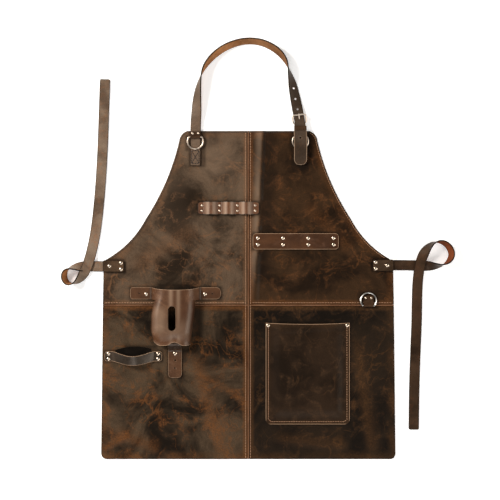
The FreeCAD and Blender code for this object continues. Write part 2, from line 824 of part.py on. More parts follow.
def chape_trim(side):
    """What is cut away beside the chape: it is narrow and square to the heel bar at the fold, and
    wider and in line with the bib where it is sewn down."""
    narrow, wide = size("chape_width") / 2, size("chape_sewn_width") / 2
    shoulder = in_body(chape, SHOULDER_X_RIGHT + side * wide, CHAPE_SHOULDER_Y)
    sewn = in_body(chape, SHOULDER_X_RIGHT + side * wide, HEEL_Y + 2 * CHAPE_SEWN_END)
    neck_y = shoulder.y + 4
    reach = side * 40
    corners = [
        (side * narrow, chape_fold + 5),
        (side * narrow, neck_y),
        (shoulder.x, shoulder.y),
        (sewn.x, sewn.y),
        (reach, sewn.y),
        (reach, chape_fold + 5),
    ]
    return closed_polygon(corners)


cut_through(chape, "XY_Plane", chape_trim(-1) + chape_trim(1))
drill(chape, right_places)
cut_through(chape, "XY_Plane", bar_outline(-2.3, -4.6, 2.3, chape_fold + 3))

half_width, corner = size("buckle_width") / 2, size("buckle_corner")
frame_length = size("buckle_length")
frame_corners = [(half_width, 0), (half_width, frame_length), (-half_width, frame_length), (-half_width, 0)]
frame_edges = rounded_outline(frame_corners, [corner] * 4)
heel_left, heel_right = (-half_width + corner, 0), (half_width - corner, 0)
wire_loop(
    "buckle_frame",
    [line((0, 0), heel_right)] + frame_edges[1:] + [line(heel_left, (0, 0))],
    "buckle_wire",
    BUCKLE_X,
    HEEL_Y,
    HEEL_Z,
    BUCKLE_TILT,
    BUCKLE_TURN,
)

prong = new_body("buckle_prong", BUCKLE_X, HEEL_Y, HEEL_Z, BUCKLE_TILT, BUCKLE_TURN)
hub = [Part.Circle(V(0, 0, 0), V(0, 0, 1), size("prong_hub"))]
pad(prong, sketch_on(prong, "YZ_Plane", hub), "Sizes.prong_width + 0.6", both_ways=True)
half_prong = size("prong_width") / 2
rise = PRONG_RISE / frame_length
shank = [
    (1.0, rise - half_prong),
    (PRONG_LENGTH - 1.0, rise * PRONG_LENGTH - half_prong),
    (PRONG_LENGTH, rise * PRONG_LENGTH),
    (PRONG_LENGTH - 1.0, rise * PRONG_LENGTH + half_prong),
    (1.0, rise + half_prong),
]
pad(prong, sketch_on(prong, "YZ_Plane", closed_polygon(shank)), "Sizes.prong_width", both_ways=True)
cut_through(prong, "YZ_Plane", [Part.Circle(V(0, 0, 0), V(0, 0, 1), size("prong_eye"))])

KEEPER_LOW, KEEPER_HIGH = PANEL_TOP - 0.3, 13.5
KEEPER_Y = 322.4
keeper_half = size("strap_width") / 2 + 0.9
wall = size("holder_thickness")
keeper = new_body("strap_keeper", BUCKLE_X + 0.95, KEEPER_Y, 0)
outer = rounded_rectangle(
    -keeper_half - wall, KEEPER_LOW - wall, keeper_half + wall, KEEPER_HIGH + wall, 2.0
)
inner = rounded_rectangle(-keeper_half, KEEPER_LOW, keeper_half, KEEPER_HIGH, 0.8)
pad(keeper, sketch_on(keeper, "XZ_Plane", outer + inner), "Sizes.keeper_length", both_ways=True)

STRAP_HOLES = [(92.3, 403.5), (95.9, 382.0), (100.2, 361.0), (105.9, 302.5)]
strap_cuts = [upright_hole(x, y, size("strap_hole")) for x, y in STRAP_HOLES]
strap_cuts += [upright_hole(x, y, size("post_hole")) for x, y in left_places]
strap_cuts.append(
    upright_slot(BUCKLE_X, HEEL_Y, 2.2, 12.9, size("prong_width") + 1.2, BUCKLE_TURN)
)
lying_strap("neck_strap", NECK_ROUTE, strap_cuts)

# ---------------------------------------------------------------- tool strips

def looped_strip(label, y, width, rivet_xs, seat_half, ramp, bow, radii, end_reach, corner):
    """A strip riveted down in pairs and bowed up between them. It is flat for seat_half each side of
    its rivets, and climbs the height bow over the length ramp."""
    middle = size("strip_thickness") / 2
    points = [(rivet_xs[0] - end_reach, middle)]
    bends = []
    for a, b in zip(rivet_xs, rivet_xs[1:]):
        points += [
            (a + seat_half, middle),
            (a + seat_half + ramp, middle + bow),
            (b - seat_half - ramp, middle + bow),
            (b - seat_half, middle),
        ]
        bends += [radii[0], radii[1], radii[1], radii[0]]
    points.append((rivet_xs[-1] + end_reach, middle))
    strip = folded_strip(
        label, "XZ_Plane", points, bends, "strip_thickness", width, 0, y, PANEL_TOP
    )
    round_corners(strip, corner)
    return strip


def evenly(first, last, count):
    return [first + (last - first) * i / (count - 1) for i in range(count)]


def in_pairs(xs, y, spread):
    return [(x, y + side * spread) for x in xs for side in (-1, 1)]


STRIP_SEAT = PANEL_TOP + size("strip_thickness")
UPPER_Y, UPPER_XS, UPPER_SPREAD = 159.9, evenly(-94.5, 13.8, 4), 5.4
LOWER_Y, LOWER_XS, LOWER_SPREAD = 92.1, evenly(19.3, 173.7, 4), 6.6
TOWEL_Y, TOWEL_XS, TOWEL_SPREAD = -142.0, [-284.8, -183.8], 5.4
upper_strip = looped_strip(
    "upper_tool_loops",
    UPPER_Y,
    "upper_strip_width",
    UPPER_XS,
    seat_half=4.6,
    ramp=4.4,
    bow=8.0,
    radii=(3.0, 6.0),
    end_reach=8.3,
    corner=6.0,
)
upper_places = in_pairs(UPPER_XS, UPPER_Y, UPPER_SPREAD)
drill(upper_strip, upper_places)
drill(bib_left, [p for p in upper_places if p[0] < 0])
drill(bib_right, [p for p in upper_places if p[0] > 0])
rivets("upper_loop_rivets", upper_places, STRIP_SEAT, "small_cap_radius")

lower_strip = looped_strip(
    "lower_tool_loops",
    LOWER_Y,
    "lower_strip_width",
    LOWER_XS,
    seat_half=7.0,
    ramp=7.0,
    bow=1.0,
    radii=(20.0, 20.0),
    end_reach=10.2,
    corner=7.0,
)
lower_places = in_pairs(LOWER_XS, LOWER_Y, LOWER_SPREAD)
drill(lower_strip, lower_places)
drill(bib_right, lower_places)
rivets("lower_loop_rivets", lower_places, STRIP_SEAT)

towel_loop = looped_strip(
    "towel_loop",
    TOWEL_Y,
    "towel_width",
    TOWEL_XS,
    seat_half=7.5,
    ramp=18.5,
    bow=19.0,
    radii=(8.0, 18.0),
    end_reach=7.9,
    corner=5.0,
)
towel_places = in_pairs(TOWEL_XS, TOWEL_Y, TOWEL_SPREAD)
drill(towel_loop, towel_places)
drill(skirt_left, towel_places)
rivets("towel_loop_rivets", towel_places, STRIP_SEAT)

LINING_LEFT, LINING_RIGHT = (-271.0, -129.5), (-198.0, -126.8)
LINING_CROWN = (-226.0, -122.4)
LINING_LOW = -150.0
flat_piece(
    "towel_loop_lining",
    [
        line((LINING_LEFT[0], LINING_LOW), (LINING_RIGHT[0], LINING_LOW)),
        line((LINING_RIGHT[0], LINING_LOW), LINING_RIGHT),
        arc_through(LINING_RIGHT, LINING_CROWN, LINING_LEFT),
        line(LINING_LEFT, (LINING_LEFT[0], LINING_LOW)),
    ],
    "Sizes.lining_thickness",
    PANEL_TOP,
)

# ---------------------------------------------------------------- holster with its tongue

HOLSTER_X, HOLSTER_TOP = -148.1, -1.4
EAR_HALF, BEND_HALF, FRONT_HALF = 92.3, 49.5, 38.0
HOLSTER_HEIGHT, HOLSTER_CROWN = 26.0, 30.0
HOLSTER_SKIRT_HALF, HOLSTER_SKIRT_Z = 45.2, 9.8
SLOT_X, SLOT_TOP, SLOT_BOTTOM = -6.3, -37.6, -87.3
holster_middle = size("holster_thickness") / 2
shoulders = [(-FRONT_HALF, HOLSTER_HEIGHT), (0, HOLSTER_CROWN), (FRONT_HALF, HOLSTER_HEIGHT)]
ear_path = (
    [(-EAR_HALF, holster_middle), (-BEND_HALF, holster_middle)]
    + shoulders
    + [(BEND_HALF, holster_middle), (EAR_HALF, holster_middle)]
)
front_path = (
    [(-HOLSTER_SKIRT_HALF, HOLSTER_SKIRT_Z)] + shoulders + [(HOLSTER_SKIRT_HALF, HOLSTER_SKIRT_Z)]
)
holster = new_body("holster", HOLSTER_X, HOLSTER_TOP, PANEL_TOP)
ear_edges = ribbon_outline(ear_path, [6, 12, 60, 12, 6], size("holster_thickness"))
front_edges = ribbon_outline(front_path, [12, 60, 12], size("holster_thickness"))
pad(holster, sketch_on(holster, "XZ_Plane", ear_edges), "Sizes.ear_width")
pad(holster, sketch_on(holster, "XZ_Plane", front_edges), "Sizes.holster_length")
slot_half = size("holster_slot_width") / 2
cut_through(
    holster,
    "XY_Plane",
    rounded_rectangle(
        SLOT_X - slot_half, SLOT_BOTTOM, SLOT_X + slot_half, SLOT_TOP, slot_half - 0.01
    ),
)
EAR_RIVET_REACH, EAR_RIVET_Y = 59.5, -15.2
ear_places = [(HOLSTER_X + side * EAR_RIVET_REACH, EAR_RIVET_Y) for side in (-1, 1)]
drill(holster, ear_places)
drill(holster, [(-222.3, -13.6), (-73.3, -14.7)], "ear_hole")
drill(bib_left, ear_places)

TONGUE_X, TONGUE_RISE = -149.4, 22.0
TONGUE_END, TONGUE_FOOT, TONGUE_SHOULDER, TONGUE_TOP = -185.6, -129.0, -118.5, -97.0
tongue_path = [
    (TONGUE_END, holster_middle),
    (TONGUE_FOOT, holster_middle),
    (TONGUE_SHOULDER, holster_middle + TONGUE_RISE),
    (TONGUE_TOP, holster_middle + TONGUE_RISE),
]
tongue = folded_strip(
    "holster_tongue",
    "YZ_Plane",
    tongue_path,
    [5.0, 6.0],
    "holster_thickness",
    "tongue_width",
    x=TONGUE_X,
    z=PANEL_TOP,
)
tongue_places = [(TONGUE_X, -136.0)]
drill(tongue, tongue_places)
drill(tongue, [(TONGUE_X, -150.3), (TONGUE_X, -166.1)], "strap_hole")
drill(skirt_left, tongue_places)
rivets("holster_rivets", ear_places + tongue_places, PANEL_TOP + size("holster_thickness"))

# ---------------------------------------------------------------- pocket

POCKET_LEFT, POCKET_RIGHT, POCKET_TOP, POCKET_BOTTOM = 35.6, 206.4, -74.1, -280.5
POCKET_FLANGE = size("pocket_flange")
POCKET_RIVET_INSET, POCKET_RIVET_DROP = 4.6, 5.0
pocket = flat_piece(
    "pocket_front",
    rounded_outline(
        [
            (POCKET_LEFT, POCKET_BOTTOM),
            (POCKET_RIGHT, POCKET_BOTTOM),
            (POCKET_RIGHT, POCKET_TOP),
            (POCKET_LEFT, POCKET_TOP),
        ],
        [10, 10, 2, 2],
    ),
    "Sizes.pocket_thickness",
    PANEL_TOP,
)
raised = bar_outline(
    POCKET_LEFT + POCKET_FLANGE,
    POCKET_BOTTOM + POCKET_FLANGE,
    POCKET_RIGHT - POCKET_FLANGE,
    POCKET_TOP,
)
pad(pocket, sketch_on(pocket, "XY_Plane", raised), "Sizes.pocket_thickness + Sizes.pocket_bulge")
inside = size("pocket_thickness") + POCKET_FLANGE
hollow = pocket.newObject("PartDesign::Pocket", "pocket_hollow")
hollow.Profile = sketch_on(
    pocket,
    "XY_Plane",
    bar_outline(POCKET_LEFT + inside, POCKET_BOTTOM + inside, POCKET_RIGHT - inside, POCKET_TOP + 5),
)
hollow.Reversed = True
hollow.setExpression("Length", "Sizes.pocket_bulge")
pocket_places = [
    (POCKET_LEFT + POCKET_RIVET_INSET, POCKET_TOP - POCKET_RIVET_DROP),
    (POCKET_RIGHT - POCKET_RIVET_INSET, POCKET_TOP - POCKET_RIVET_DROP),
]
drill(pocket, pocket_places)
drill(skirt_right, pocket_places)
rivets("pocket_rivets", pocket_places, PANEL_TOP + size("pocket_thickness"))

# ---------------------------------------------------------------- checks and files

doc.recompute()
for made in doc.Objects:
    if {"Invalid", "Error"} & set(made.State):
        raise RuntimeError(f"{made.Label} failed: {made.State}")
for made in sub_parts:
    if made.Shape.isNull() or not made.Shape.isValid():
        raise RuntimeError(f"{made.Label} has no valid shape")

os.makedirs("parts", exist_ok=True)
for made in sub_parts:
    made.Shape.exportStep(f"parts/{made.Label}.step")
print(len(sub_parts), "nodes")
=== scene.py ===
import math

import bpy
import numpy as np
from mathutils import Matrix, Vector, noise


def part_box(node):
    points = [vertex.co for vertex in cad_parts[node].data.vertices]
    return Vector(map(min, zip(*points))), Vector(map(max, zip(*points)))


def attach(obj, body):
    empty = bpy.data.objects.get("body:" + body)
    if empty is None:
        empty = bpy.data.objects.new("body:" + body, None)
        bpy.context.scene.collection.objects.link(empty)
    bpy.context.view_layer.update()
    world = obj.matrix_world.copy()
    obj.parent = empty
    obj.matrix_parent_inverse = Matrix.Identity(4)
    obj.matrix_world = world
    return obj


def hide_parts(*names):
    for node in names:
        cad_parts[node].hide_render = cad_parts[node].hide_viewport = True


# The looks of a leather tool apron that lies flat, grain side up: four panels with welted seams, a
# neck strap, waist ties, loops, a holster and a pocket. Sizes are in metres; MM turns millimetres
# into metres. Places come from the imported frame.

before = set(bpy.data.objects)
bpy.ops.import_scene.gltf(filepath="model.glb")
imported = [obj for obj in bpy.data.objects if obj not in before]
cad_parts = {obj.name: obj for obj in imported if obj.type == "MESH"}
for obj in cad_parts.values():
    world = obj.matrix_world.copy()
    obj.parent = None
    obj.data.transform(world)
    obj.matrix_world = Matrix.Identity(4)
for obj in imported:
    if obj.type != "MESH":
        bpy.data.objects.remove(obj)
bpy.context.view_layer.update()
MM = 0.001
UP = Vector((0, 0, 1))

# ---------------------------------------------------------------- camera and lights

VIEW_WIDTH = 1.02
VIEW_CENTRE = Vector((0.0034, 0.0745, 0.0))
LENS, SENSOR = 100.0, 36.0

camera_data = bpy.data.cameras.new("camera")
camera_data.lens = LENS
camera_data.sensor_width = SENSOR
camera = bpy.data.objects.new("camera", camera_data)
camera.location = VIEW_CENTRE + UP * (VIEW_WIDTH * LENS / SENSOR)
bpy.context.scene.collection.objects.link(camera)
bpy.context.scene.camera = camera


def area_light(name, place, size, power, colour=(1, 1, 1)):
    """A square soft light that faces the middle of the apron."""
    data = bpy.data.lights.new(name, "AREA")
    data.size = size
    data.energy = power
    data.color = colour
    light = bpy.data.objects.new(name, data)
    light.location = place
    light.rotation_mode = "QUATERNION"
    light.rotation_quaternion = (VIEW_CENTRE - Vector(place)).to_track_quat("-Z", "Y")
    bpy.context.scene.collection.objects.link(light)


WARM = (1.0, 0.95, 0.89)
area_light("key", (-2.15, 1.15, 1.75), 0.9, 125, WARM)
area_light("side", (2.5, -0.5, 1.9), 1.8, 62, WARM)
area_light("low_fill", (-0.2, -2.6, 2.2), 1.8, 50)

# ---------------------------------------------------------------- shader nodes


def srgb(red, green, blue):
    """A colour given by its 0 to 255 screen values, as a shader wants it."""
    parts = [c / 255 for c in (red, green, blue)]
    return tuple(c / 12.92 if c <= 0.04045 else ((c + 0.055) / 1.055) ** 2.4 for c in parts) + (1.0,)


def node(tree, kind, inputs=None, **settings):
    """Adds a shader node; inputs are values or other nodes' sockets."""
    made = tree.nodes.new(kind)
    for key, value in settings.items():
        setattr(made, key, value)
    for key, value in (inputs or {}).items():
        if isinstance(value, bpy.types.NodeSocket):
            tree.links.new(value, made.inputs[key])
        else:
            made.inputs[key].default_value = value
    return made


MIX_A, MIX_B, MIX_RESULT = 6, 7, 2


def mix(tree, share, a, b):
    """Colour a where share is 0, and colour b where it is 1."""
    made = node(tree, "ShaderNodeMix", {0: share, MIX_A: a, MIX_B: b}, data_type="RGBA")
    return made.outputs[MIX_RESULT]


def cloud(tree, place, scale, detail=4.0, rough=0.55, twist=0.0):
    """Noise from 0 to 1 with features of about 1 / scale metres."""
    made = node(
        tree,
        "ShaderNodeTexNoise",
        {"Vector": place, "Scale": scale, "Detail": detail, "Roughness": rough, "Distortion": twist},
    )
    return made.outputs["Fac"]


def ramp(tree, value, low, high):
    """0 where value is under low, 1 over high."""
    made = node(
        tree,
        "ShaderNodeMapRange",
        {"Value": value, "From Min": low, "From Max": high},
        interpolation_type="SMOOTHSTEP",
    )
    return made.outputs["Result"]


def scaled(tree, value, low, high):
    """A value from 0 to 1 spread from low to high."""
    made = node(tree, "ShaderNodeMapRange", {"Value": value, "To Min": low, "To Max": high})
    return made.outputs["Result"]


def attribute(tree, name):
    return node(tree, "ShaderNodeAttribute", attribute_name=name).outputs["Fac"]


def object_place(tree):
    return node(tree, "ShaderNodeTexCoord").outputs["Object"]


def bumpy(tree, shader, height, strength, distance):
    """Lets a height show in the surface's shading."""
    bump = node(tree, "ShaderNodeBump", {"Height": height, "Strength": strength, "Distance": distance})
    tree.links.new(bump.outputs["Normal"], shader.inputs["Normal"])


def maths(tree, operation, a, b):
    return node(tree, "ShaderNodeMath", {0: a, 1: b}, operation=operation).outputs[0]


def new_material(name):
    material = bpy.data.materials.new(name)
    material.use_nodes = True
    tree = material.node_tree
    return material, tree, tree.nodes["Principled BSDF"]


# The studio is dark right above, where the camera hangs, and bright all round. The change lies
# between these heights of the direction looked in, where straight up is 1.
DARK_ABOVE, BRIGHT_ROUND = 0.03, 1.9
DARK_FROM, BRIGHT_UNDER = 0.95, 0.62
world = bpy.data.worlds.new("studio")
world.use_nodes = True
world_tree = world.node_tree
direction = node(world_tree, "ShaderNodeTexCoord").outputs["Generated"]
height = node(world_tree, "ShaderNodeSeparateXYZ", {"Vector": direction}).outputs["Z"]
glow = node(
    world_tree,
    "ShaderNodeMapRange",
    {
        "Value": height,
        "From Min": DARK_FROM,
        "From Max": BRIGHT_UNDER,
        "To Min": DARK_ABOVE,
        "To Max": BRIGHT_ROUND,
    },
    interpolation_type="SMOOTHSTEP",
)
world_tree.links.new(glow.outputs["Result"], world_tree.nodes["Background"].inputs["Strength"])
bpy.context.scene.world = world
bpy.context.scene.view_settings.view_transform = "Standard"

# ---------------------------------------------------------------- materials

LEATHER_DEPTH = 0.66
# The pale of rubbed edges and of painted highlights.
FADED_AND_SHEEN = (196, 164, 136)
WARM_SHINE = (1.0, 0.86, 0.74, 1.0)


def deep(colour):
    """A leather colour given by its screen values, as dark as it has to be under these lights."""
    return tuple(c * LEATHER_DEPTH for c in srgb(*colour)[:3]) + (1.0,)


def leather(
    name,
    dark,
    mid,
    worn,
    worn_share=0.5,
    edge=None,
    gloss=0.5,
    grain=0.35,
    edge_width=1.6,
    shine=0.12,
    seed=0.0,
):
    """Oiled pull-up leather: broad dark and light clouds, warm worn patches and crease lines, and a
    pebbled grain. edge is the colour that the cut edges fade to, over edge_width millimetres. The
    attribute wear brings out the worn colour, faded_and_sheen pales the leather for rubbed edges and
    painted highlights, and stain darkens it for its own darker tones and painted shade."""
    material, tree, shader = new_material(name)
    dark, mid, worn = deep(dark), deep(mid), deep(worn)
    shift = {"Vector": object_place(tree), "Location": (seed, 2 * seed, 0)}
    place = node(tree, "ShaderNodeMapping", shift).outputs[0]
    broad = ramp(tree, cloud(tree, place, 10.0, 5.0, 0.62, 0.6), 0.36, 0.62)
    patches = ramp(tree, cloud(tree, place, 24.0, 6.0, 0.62, 1.4), 0.50, 0.72)
    speckle = ramp(tree, cloud(tree, place, 260.0, 3.0, 0.6), 0.35, 0.68)
    colour = mix(tree, broad, dark, mid)
    patch_share = maths(tree, "MULTIPLY", patches, maths(tree, "ADD", 0.3, speckle))
    colour = mix(tree, maths(tree, "MULTIPLY", patch_share, 0.9 * worn_share), colour, worn)
    for scale, mask_scale, strength in ((8.0, 13.0, 0.8), (15.0, 19.0, 0.6)):
        wandering = cloud(tree, place, scale, 4.0, 0.55, 1.8)
        offset = maths(tree, "ABSOLUTE", maths(tree, "SUBTRACT", wandering, 0.5), 0.0)
        line = ramp(tree, offset, 0.022, 0.0)
        mask = ramp(tree, cloud(tree, place, mask_scale, 3.0, 0.5, 0.5), 0.46, 0.66)
        vein = maths(tree, "MULTIPLY", maths(tree, "MULTIPLY", line, mask), strength * worn_share)
        colour = mix(tree, vein, colour, worn)
    uneven = maths(tree, "ADD", 0.45, maths(tree, "MULTIPLY", speckle, 0.5))
    worn_edge = maths(tree, "MULTIPLY", attribute(tree, "wear"), uneven)
    colour = mix(tree, worn_edge, colour, worn)
    fine = cloud(tree, place, 900.0, 2.0, 0.5)
    colour = mix(tree, ramp(tree, fine, 0.66, 0.3), colour, mix(tree, 0.35, colour, (0, 0, 0, 1)))
    if edge is not None:
        near = ramp(tree, attribute(tree, "edge"), edge_width * MM, 0.2 * edge_width * MM)
        colour = mix(tree, near, colour, edge)
    colour = mix(tree, attribute(tree, "faded_and_sheen"), colour, mix(tree, 0.75, colour, deep(FADED_AND_SHEEN)))
    stain_and_shade_share = maths(tree, "MULTIPLY", attribute(tree, "stain"), 0.85)
    colour = mix(tree, stain_and_shade_share, colour, mix(tree, 0.9, colour, STAIN_AND_SHADE_DARK))
    tree.links.new(colour, shader.inputs["Base Color"])
    shader.inputs["Specular IOR Level"].default_value = shine
    shader.inputs["Specular Tint"].default_value = WARM_SHINE
    tree.links.new(scaled(tree, patches, gloss, gloss + 0.16), shader.inputs["Roughness"])
    grains = {"Vector": place, "Scale": 760.0}
    pebbles = node(tree, "ShaderNodeTexVoronoi", grains, feature="SMOOTH_F1").outputs["Distance"]
    creases = cloud(tree, place, 120.0, 5.0, 0.65, 0.5)
    height = maths(tree, "ADD", maths(tree, "MULTIPLY", pebbles, 0.35), creases)
    bumpy(tree, shader, height, grain, 0.6 * MM)
    return material


def metal(name, colour, roughness, scratched=0.12):
    """Plated metal with faint handling marks."""
    material, tree, shader = new_material(name)
    marks = cloud(tree, object_place(tree), 420.0, 4.0, 0.7, 0.6)
    dull = tuple(c * 0.55 for c in colour[:3]) + (1.0,)
    tree.links.new(mix(tree, ramp(tree, marks, 0.45, 0.8), colour, dull), shader.inputs["Base Color"])
    tree.links.new(scaled(tree, marks, roughness, roughness + scratched), shader.inputs["Roughness"])
    shader.inputs["Metallic"].default_value = 1.0
    bumpy(tree, shader, marks, 0.12, 0.1 * MM)
    return material


def thread(name, colour, shade):
    """Waxed thread: two twisted tones."""
    material, tree, shader = new_material(name)
    twist = ramp(tree, cloud(tree, object_place(tree), 1500.0, 2.0, 0.5), 0.35, 0.65)
    tree.links.new(mix(tree, twist, shade, colour), shader.inputs["Base Color"])
    shader.inputs["Roughness"].default_value = 0.62
    bumpy(tree, shader, twist, 0.3, 0.1 * MM)
    return material


EDGE_DARK = srgb(24, 15, 9)
# The dark of darker tones and of painted shade.
STAIN_AND_SHADE_DARK = srgb(14, 9, 6)
EDGE_CREAM = srgb(158, 128, 102)
WORN_TAN, WORN_ORANGE = (134, 94, 64), (126, 78, 40)
leather_left = leather(
    "leather_left", (44, 33, 23), (107, 87, 69), WORN_TAN, 0.8, EDGE_DARK, 0.5, seed=0.3
)
leather_left_low = leather(
    "leather_left_low", (25, 18, 11), (90, 72, 54), WORN_ORANGE, 0.8, EDGE_DARK, 0.5, seed=1.7
)
leather_right = leather(
    "leather_right", (34, 22, 12), (68, 47, 29), (118, 74, 40), 0.65, EDGE_DARK, 0.48, seed=2.9
)
leather_right_low = leather(
    "leather_right_low", (20, 14, 9), (43, 32, 22), (96, 64, 36), 0.6, EDGE_DARK, 0.5, seed=4.1
)
leather_strap = leather(
    "leather_strap", (98, 80, 65), (132, 110, 92), (150, 108, 78), 0.5, EDGE_DARK, 0.45
)
leather_tab = leather("leather_tab", (60, 45, 32), (92, 72, 54), (118, 84, 56), 0.5, EDGE_DARK, 0.42)
leather_tie = leather(
    "leather_tie", (104, 84, 68), (152, 130, 110), (170, 114, 76), 0.7, EDGE_DARK, 0.5, seed=3.3
)
leather_tie_dark = leather(
    "leather_tie_dark", (50, 35, 24), (80, 59, 43), (104, 66, 42), 0.5, EDGE_DARK, 0.45
)
leather_glossy = leather(
    "leather_glossy", (92, 52, 28), (130, 84, 54), (150, 102, 70), 0.4, EDGE_DARK, 0.44, 0.2, shine=0.7
)
leather_towel = leather(
    "leather_towel", (40, 31, 23), (66, 53, 42), (88, 70, 54), 0.3, EDGE_CREAM, 0.42, 0.2, 1.0, 0.45
)
# Near black: painted shadow in the gap behind the towel loop.
painted_shadow_lining = leather("painted_shadow_lining", (10, 7, 5), (20, 14, 10), (34, 24, 16), 0.3)
leather_holster = leather(
    "leather_holster", (84, 50, 28), (116, 76, 48), (140, 96, 64), 0.5, EDGE_CREAM, 0.42, 0.25, 1.0, 0.5
)
leather_strip = leather(
    "leather_strip", (70, 42, 24), (98, 62, 38), (128, 84, 56), 0.4, EDGE_CREAM, 0.38, 0.2, 1.2, 0.5
)
leather_pocket = leather(
    "leather_pocket", (33, 23, 15), (54, 39, 27), (96, 68, 44), 0.5, EDGE_CREAM, 0.44, edge_width=1.3
)
flesh = leather(
    "flesh_side", (164, 106, 60), (216, 150, 96), (234, 176, 122), 0.5, srgb(84, 50, 26), 0.8
)
flesh_red = leather(
    "flesh_side_red", (116, 54, 28), (156, 82, 44), (178, 104, 60), 0.5, srgb(60, 32, 20), 0.8
)
cut_dark = leather("cut_edge_dark", (22, 14, 10), (40, 26, 18), (70, 46, 30), 0.4)
cut_cream = leather("cut_edge_cream", (122, 96, 74), (160, 132, 106), (180, 152, 126), 0.5)
nickel = metal("nickel", (0.80, 0.67, 0.55, 1), 0.34)
steel = metal("steel", (0.84, 0.81, 0.76, 1), 0.26)
rivet_nickel = metal("rivet_nickel", (0.58, 0.48, 0.38, 1), 0.28)
thread_dark = thread("thread_dark", srgb(40, 26, 18), srgb(18, 11, 8))
thread_tan = thread("thread_tan", srgb(188, 146, 112), srgb(132, 92, 64))

# ---------------------------------------------------------------- shared shapes


def smoothstep(low, high, value):
    share = min(1.0, max(0.0, (value - low) / (high - low)))
    return share * share * (3 - 2 * share)


def bell(value, half):
    """1 at nothing, falling off smoothly to both sides over about the half width."""
    return math.exp(-((value / half) ** 2))


def lengths(points):
    """The distance travelled along a polyline at each of its points."""
    steps = np.linalg.norm(np.diff(points, axis=0), axis=1)
    return np.concatenate([[0.0], np.cumsum(steps)])


def at_lengths(points, places):
    """The points of a polyline at the given distances along it."""
    run = lengths(points)
    return np.stack([np.interp(places, run, points[:, k]) for k in range(3)], axis=1)


def softened(corners, radius, step=0.8 * MM):
    """A polyline through corner points with its corners rounded over about the radius."""
    corners = np.array([list(c) for c in corners], float)
    run = lengths(corners)
    count = max(8, int(run[-1] / step))
    points = at_lengths(corners, np.linspace(0, run[-1], count))
    passes = int((radius / step) ** 2)
    for _ in range(passes):
        points[1:-1] = (points[:-2] + 2 * points[1:-1] + points[2:]) / 4
    return points


CLOSE = (0.0, 0.5 * MM, 1.2 * MM, 2.2 * MM, 3.6 * MM)


def spread(low, high, cell):
    """Places from low to high, close together near both ends and about a cell apart between."""
    inner = high - low - 2 * CLOSE[-1]
    if inner < cell:
        return np.linspace(low, high, 9)
    count = max(2, math.ceil(inner / cell))
    middle = np.linspace(low + CLOSE[-1], high - CLOSE[-1], count + 1)[1:-1]
    starts = [low + c for c in CLOSE]
    ends = [high - c for c in reversed(CLOSE)]
    return np.array(starts + list(middle) + ends)


def rounded(obj, width):
    """Rounds a piece's sharp edges."""
    bevel = obj.modifiers.new("bevel", "BEVEL")
    bevel.width = width
    bevel.segments = 2
    bevel.limit_method = "ANGLE"
    bevel.angle_limit = math.radians(50)


def smooth_mesh(name, vertices, faces):
    data = bpy.data.meshes.new(name)
    data.from_pydata([list(v) for v in vertices], [], faces)
    data.polygons.foreach_set("use_smooth", [True] * len(data.polygons))
    return data


def tube_faces(rings, sides, first=0):
    """The faces of a closed tube of rings of vertices, of which first is the number of the first."""
    faces = []
    for ring in range(rings - 1):
        for k in range(sides):
            a = first + ring * sides + k
            b = first + ring * sides + (k + 1) % sides
            faces.append((a, b, b + sides, a + sides))
    last = first + (rings - 1) * sides
    faces.append(tuple(first + k for k in reversed(range(sides))))
    faces.append(tuple(last + k for k in range(sides)))
    return faces


def dress(obj, materials, body="apron", slot="fitting_leather", stands_for=()):
    """Gives a piece its materials and its body, and hides the nodes it stands for. slot is not used."""
    for material in materials:
        obj.data.materials.append(material)
    bpy.context.scene.collection.objects.link(obj)
    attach(obj, body)
    if stands_for:
        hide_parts(*stands_for)
    return obj


def shell(
    name,
    rows,
    edge,
    thickness,
    materials,
    offset=0.0,
    keep=None,
    levels=0,
    round_by=0.5,
    marks=None,
    **facts,
):
    """A sheet of leather from a grid of points, made solid and with rounded edges. edge is each
    point's distance from the nearest cut. keep says which cells of the grid exist, and marks holds
    further values for the points, by name."""
    count, wide = rows.shape[:2]
    faces = [
        (i * wide + j, (i + 1) * wide + j, (i + 1) * wide + j + 1, i * wide + j + 1)
        for i in range(count - 1)
        for j in range(wide - 1)
        if keep is None or keep(i, j)
    ]
    used = sorted({v for face in faces for v in face})
    renumber = {v: n for n, v in enumerate(used)}
    points = rows.reshape(-1, 3)[used].tolist()
    data = smooth_mesh(name, points, [[renumber[v] for v in face] for face in faces])
    for mark, values in {"edge": edge, **(marks or {})}.items():
        layer = data.attributes.new(mark, "FLOAT", "POINT")
        layer.data.foreach_set("value", values.reshape(-1)[used].astype(np.float32))
    obj = bpy.data.objects.new(name, data)
    if levels:
        smooth = obj.modifiers.new("smooth", "SUBSURF")
        smooth.levels = levels
        smooth.render_levels = levels
    solid = obj.modifiers.new("solid", "SOLIDIFY")
    solid.thickness = thickness
    solid.offset = offset
    solid.material_offset = 1
    solid.material_offset_rim = 2
    rounded(obj, min(round_by * MM, thickness * 0.3))
    return dress(obj, materials, **facts)


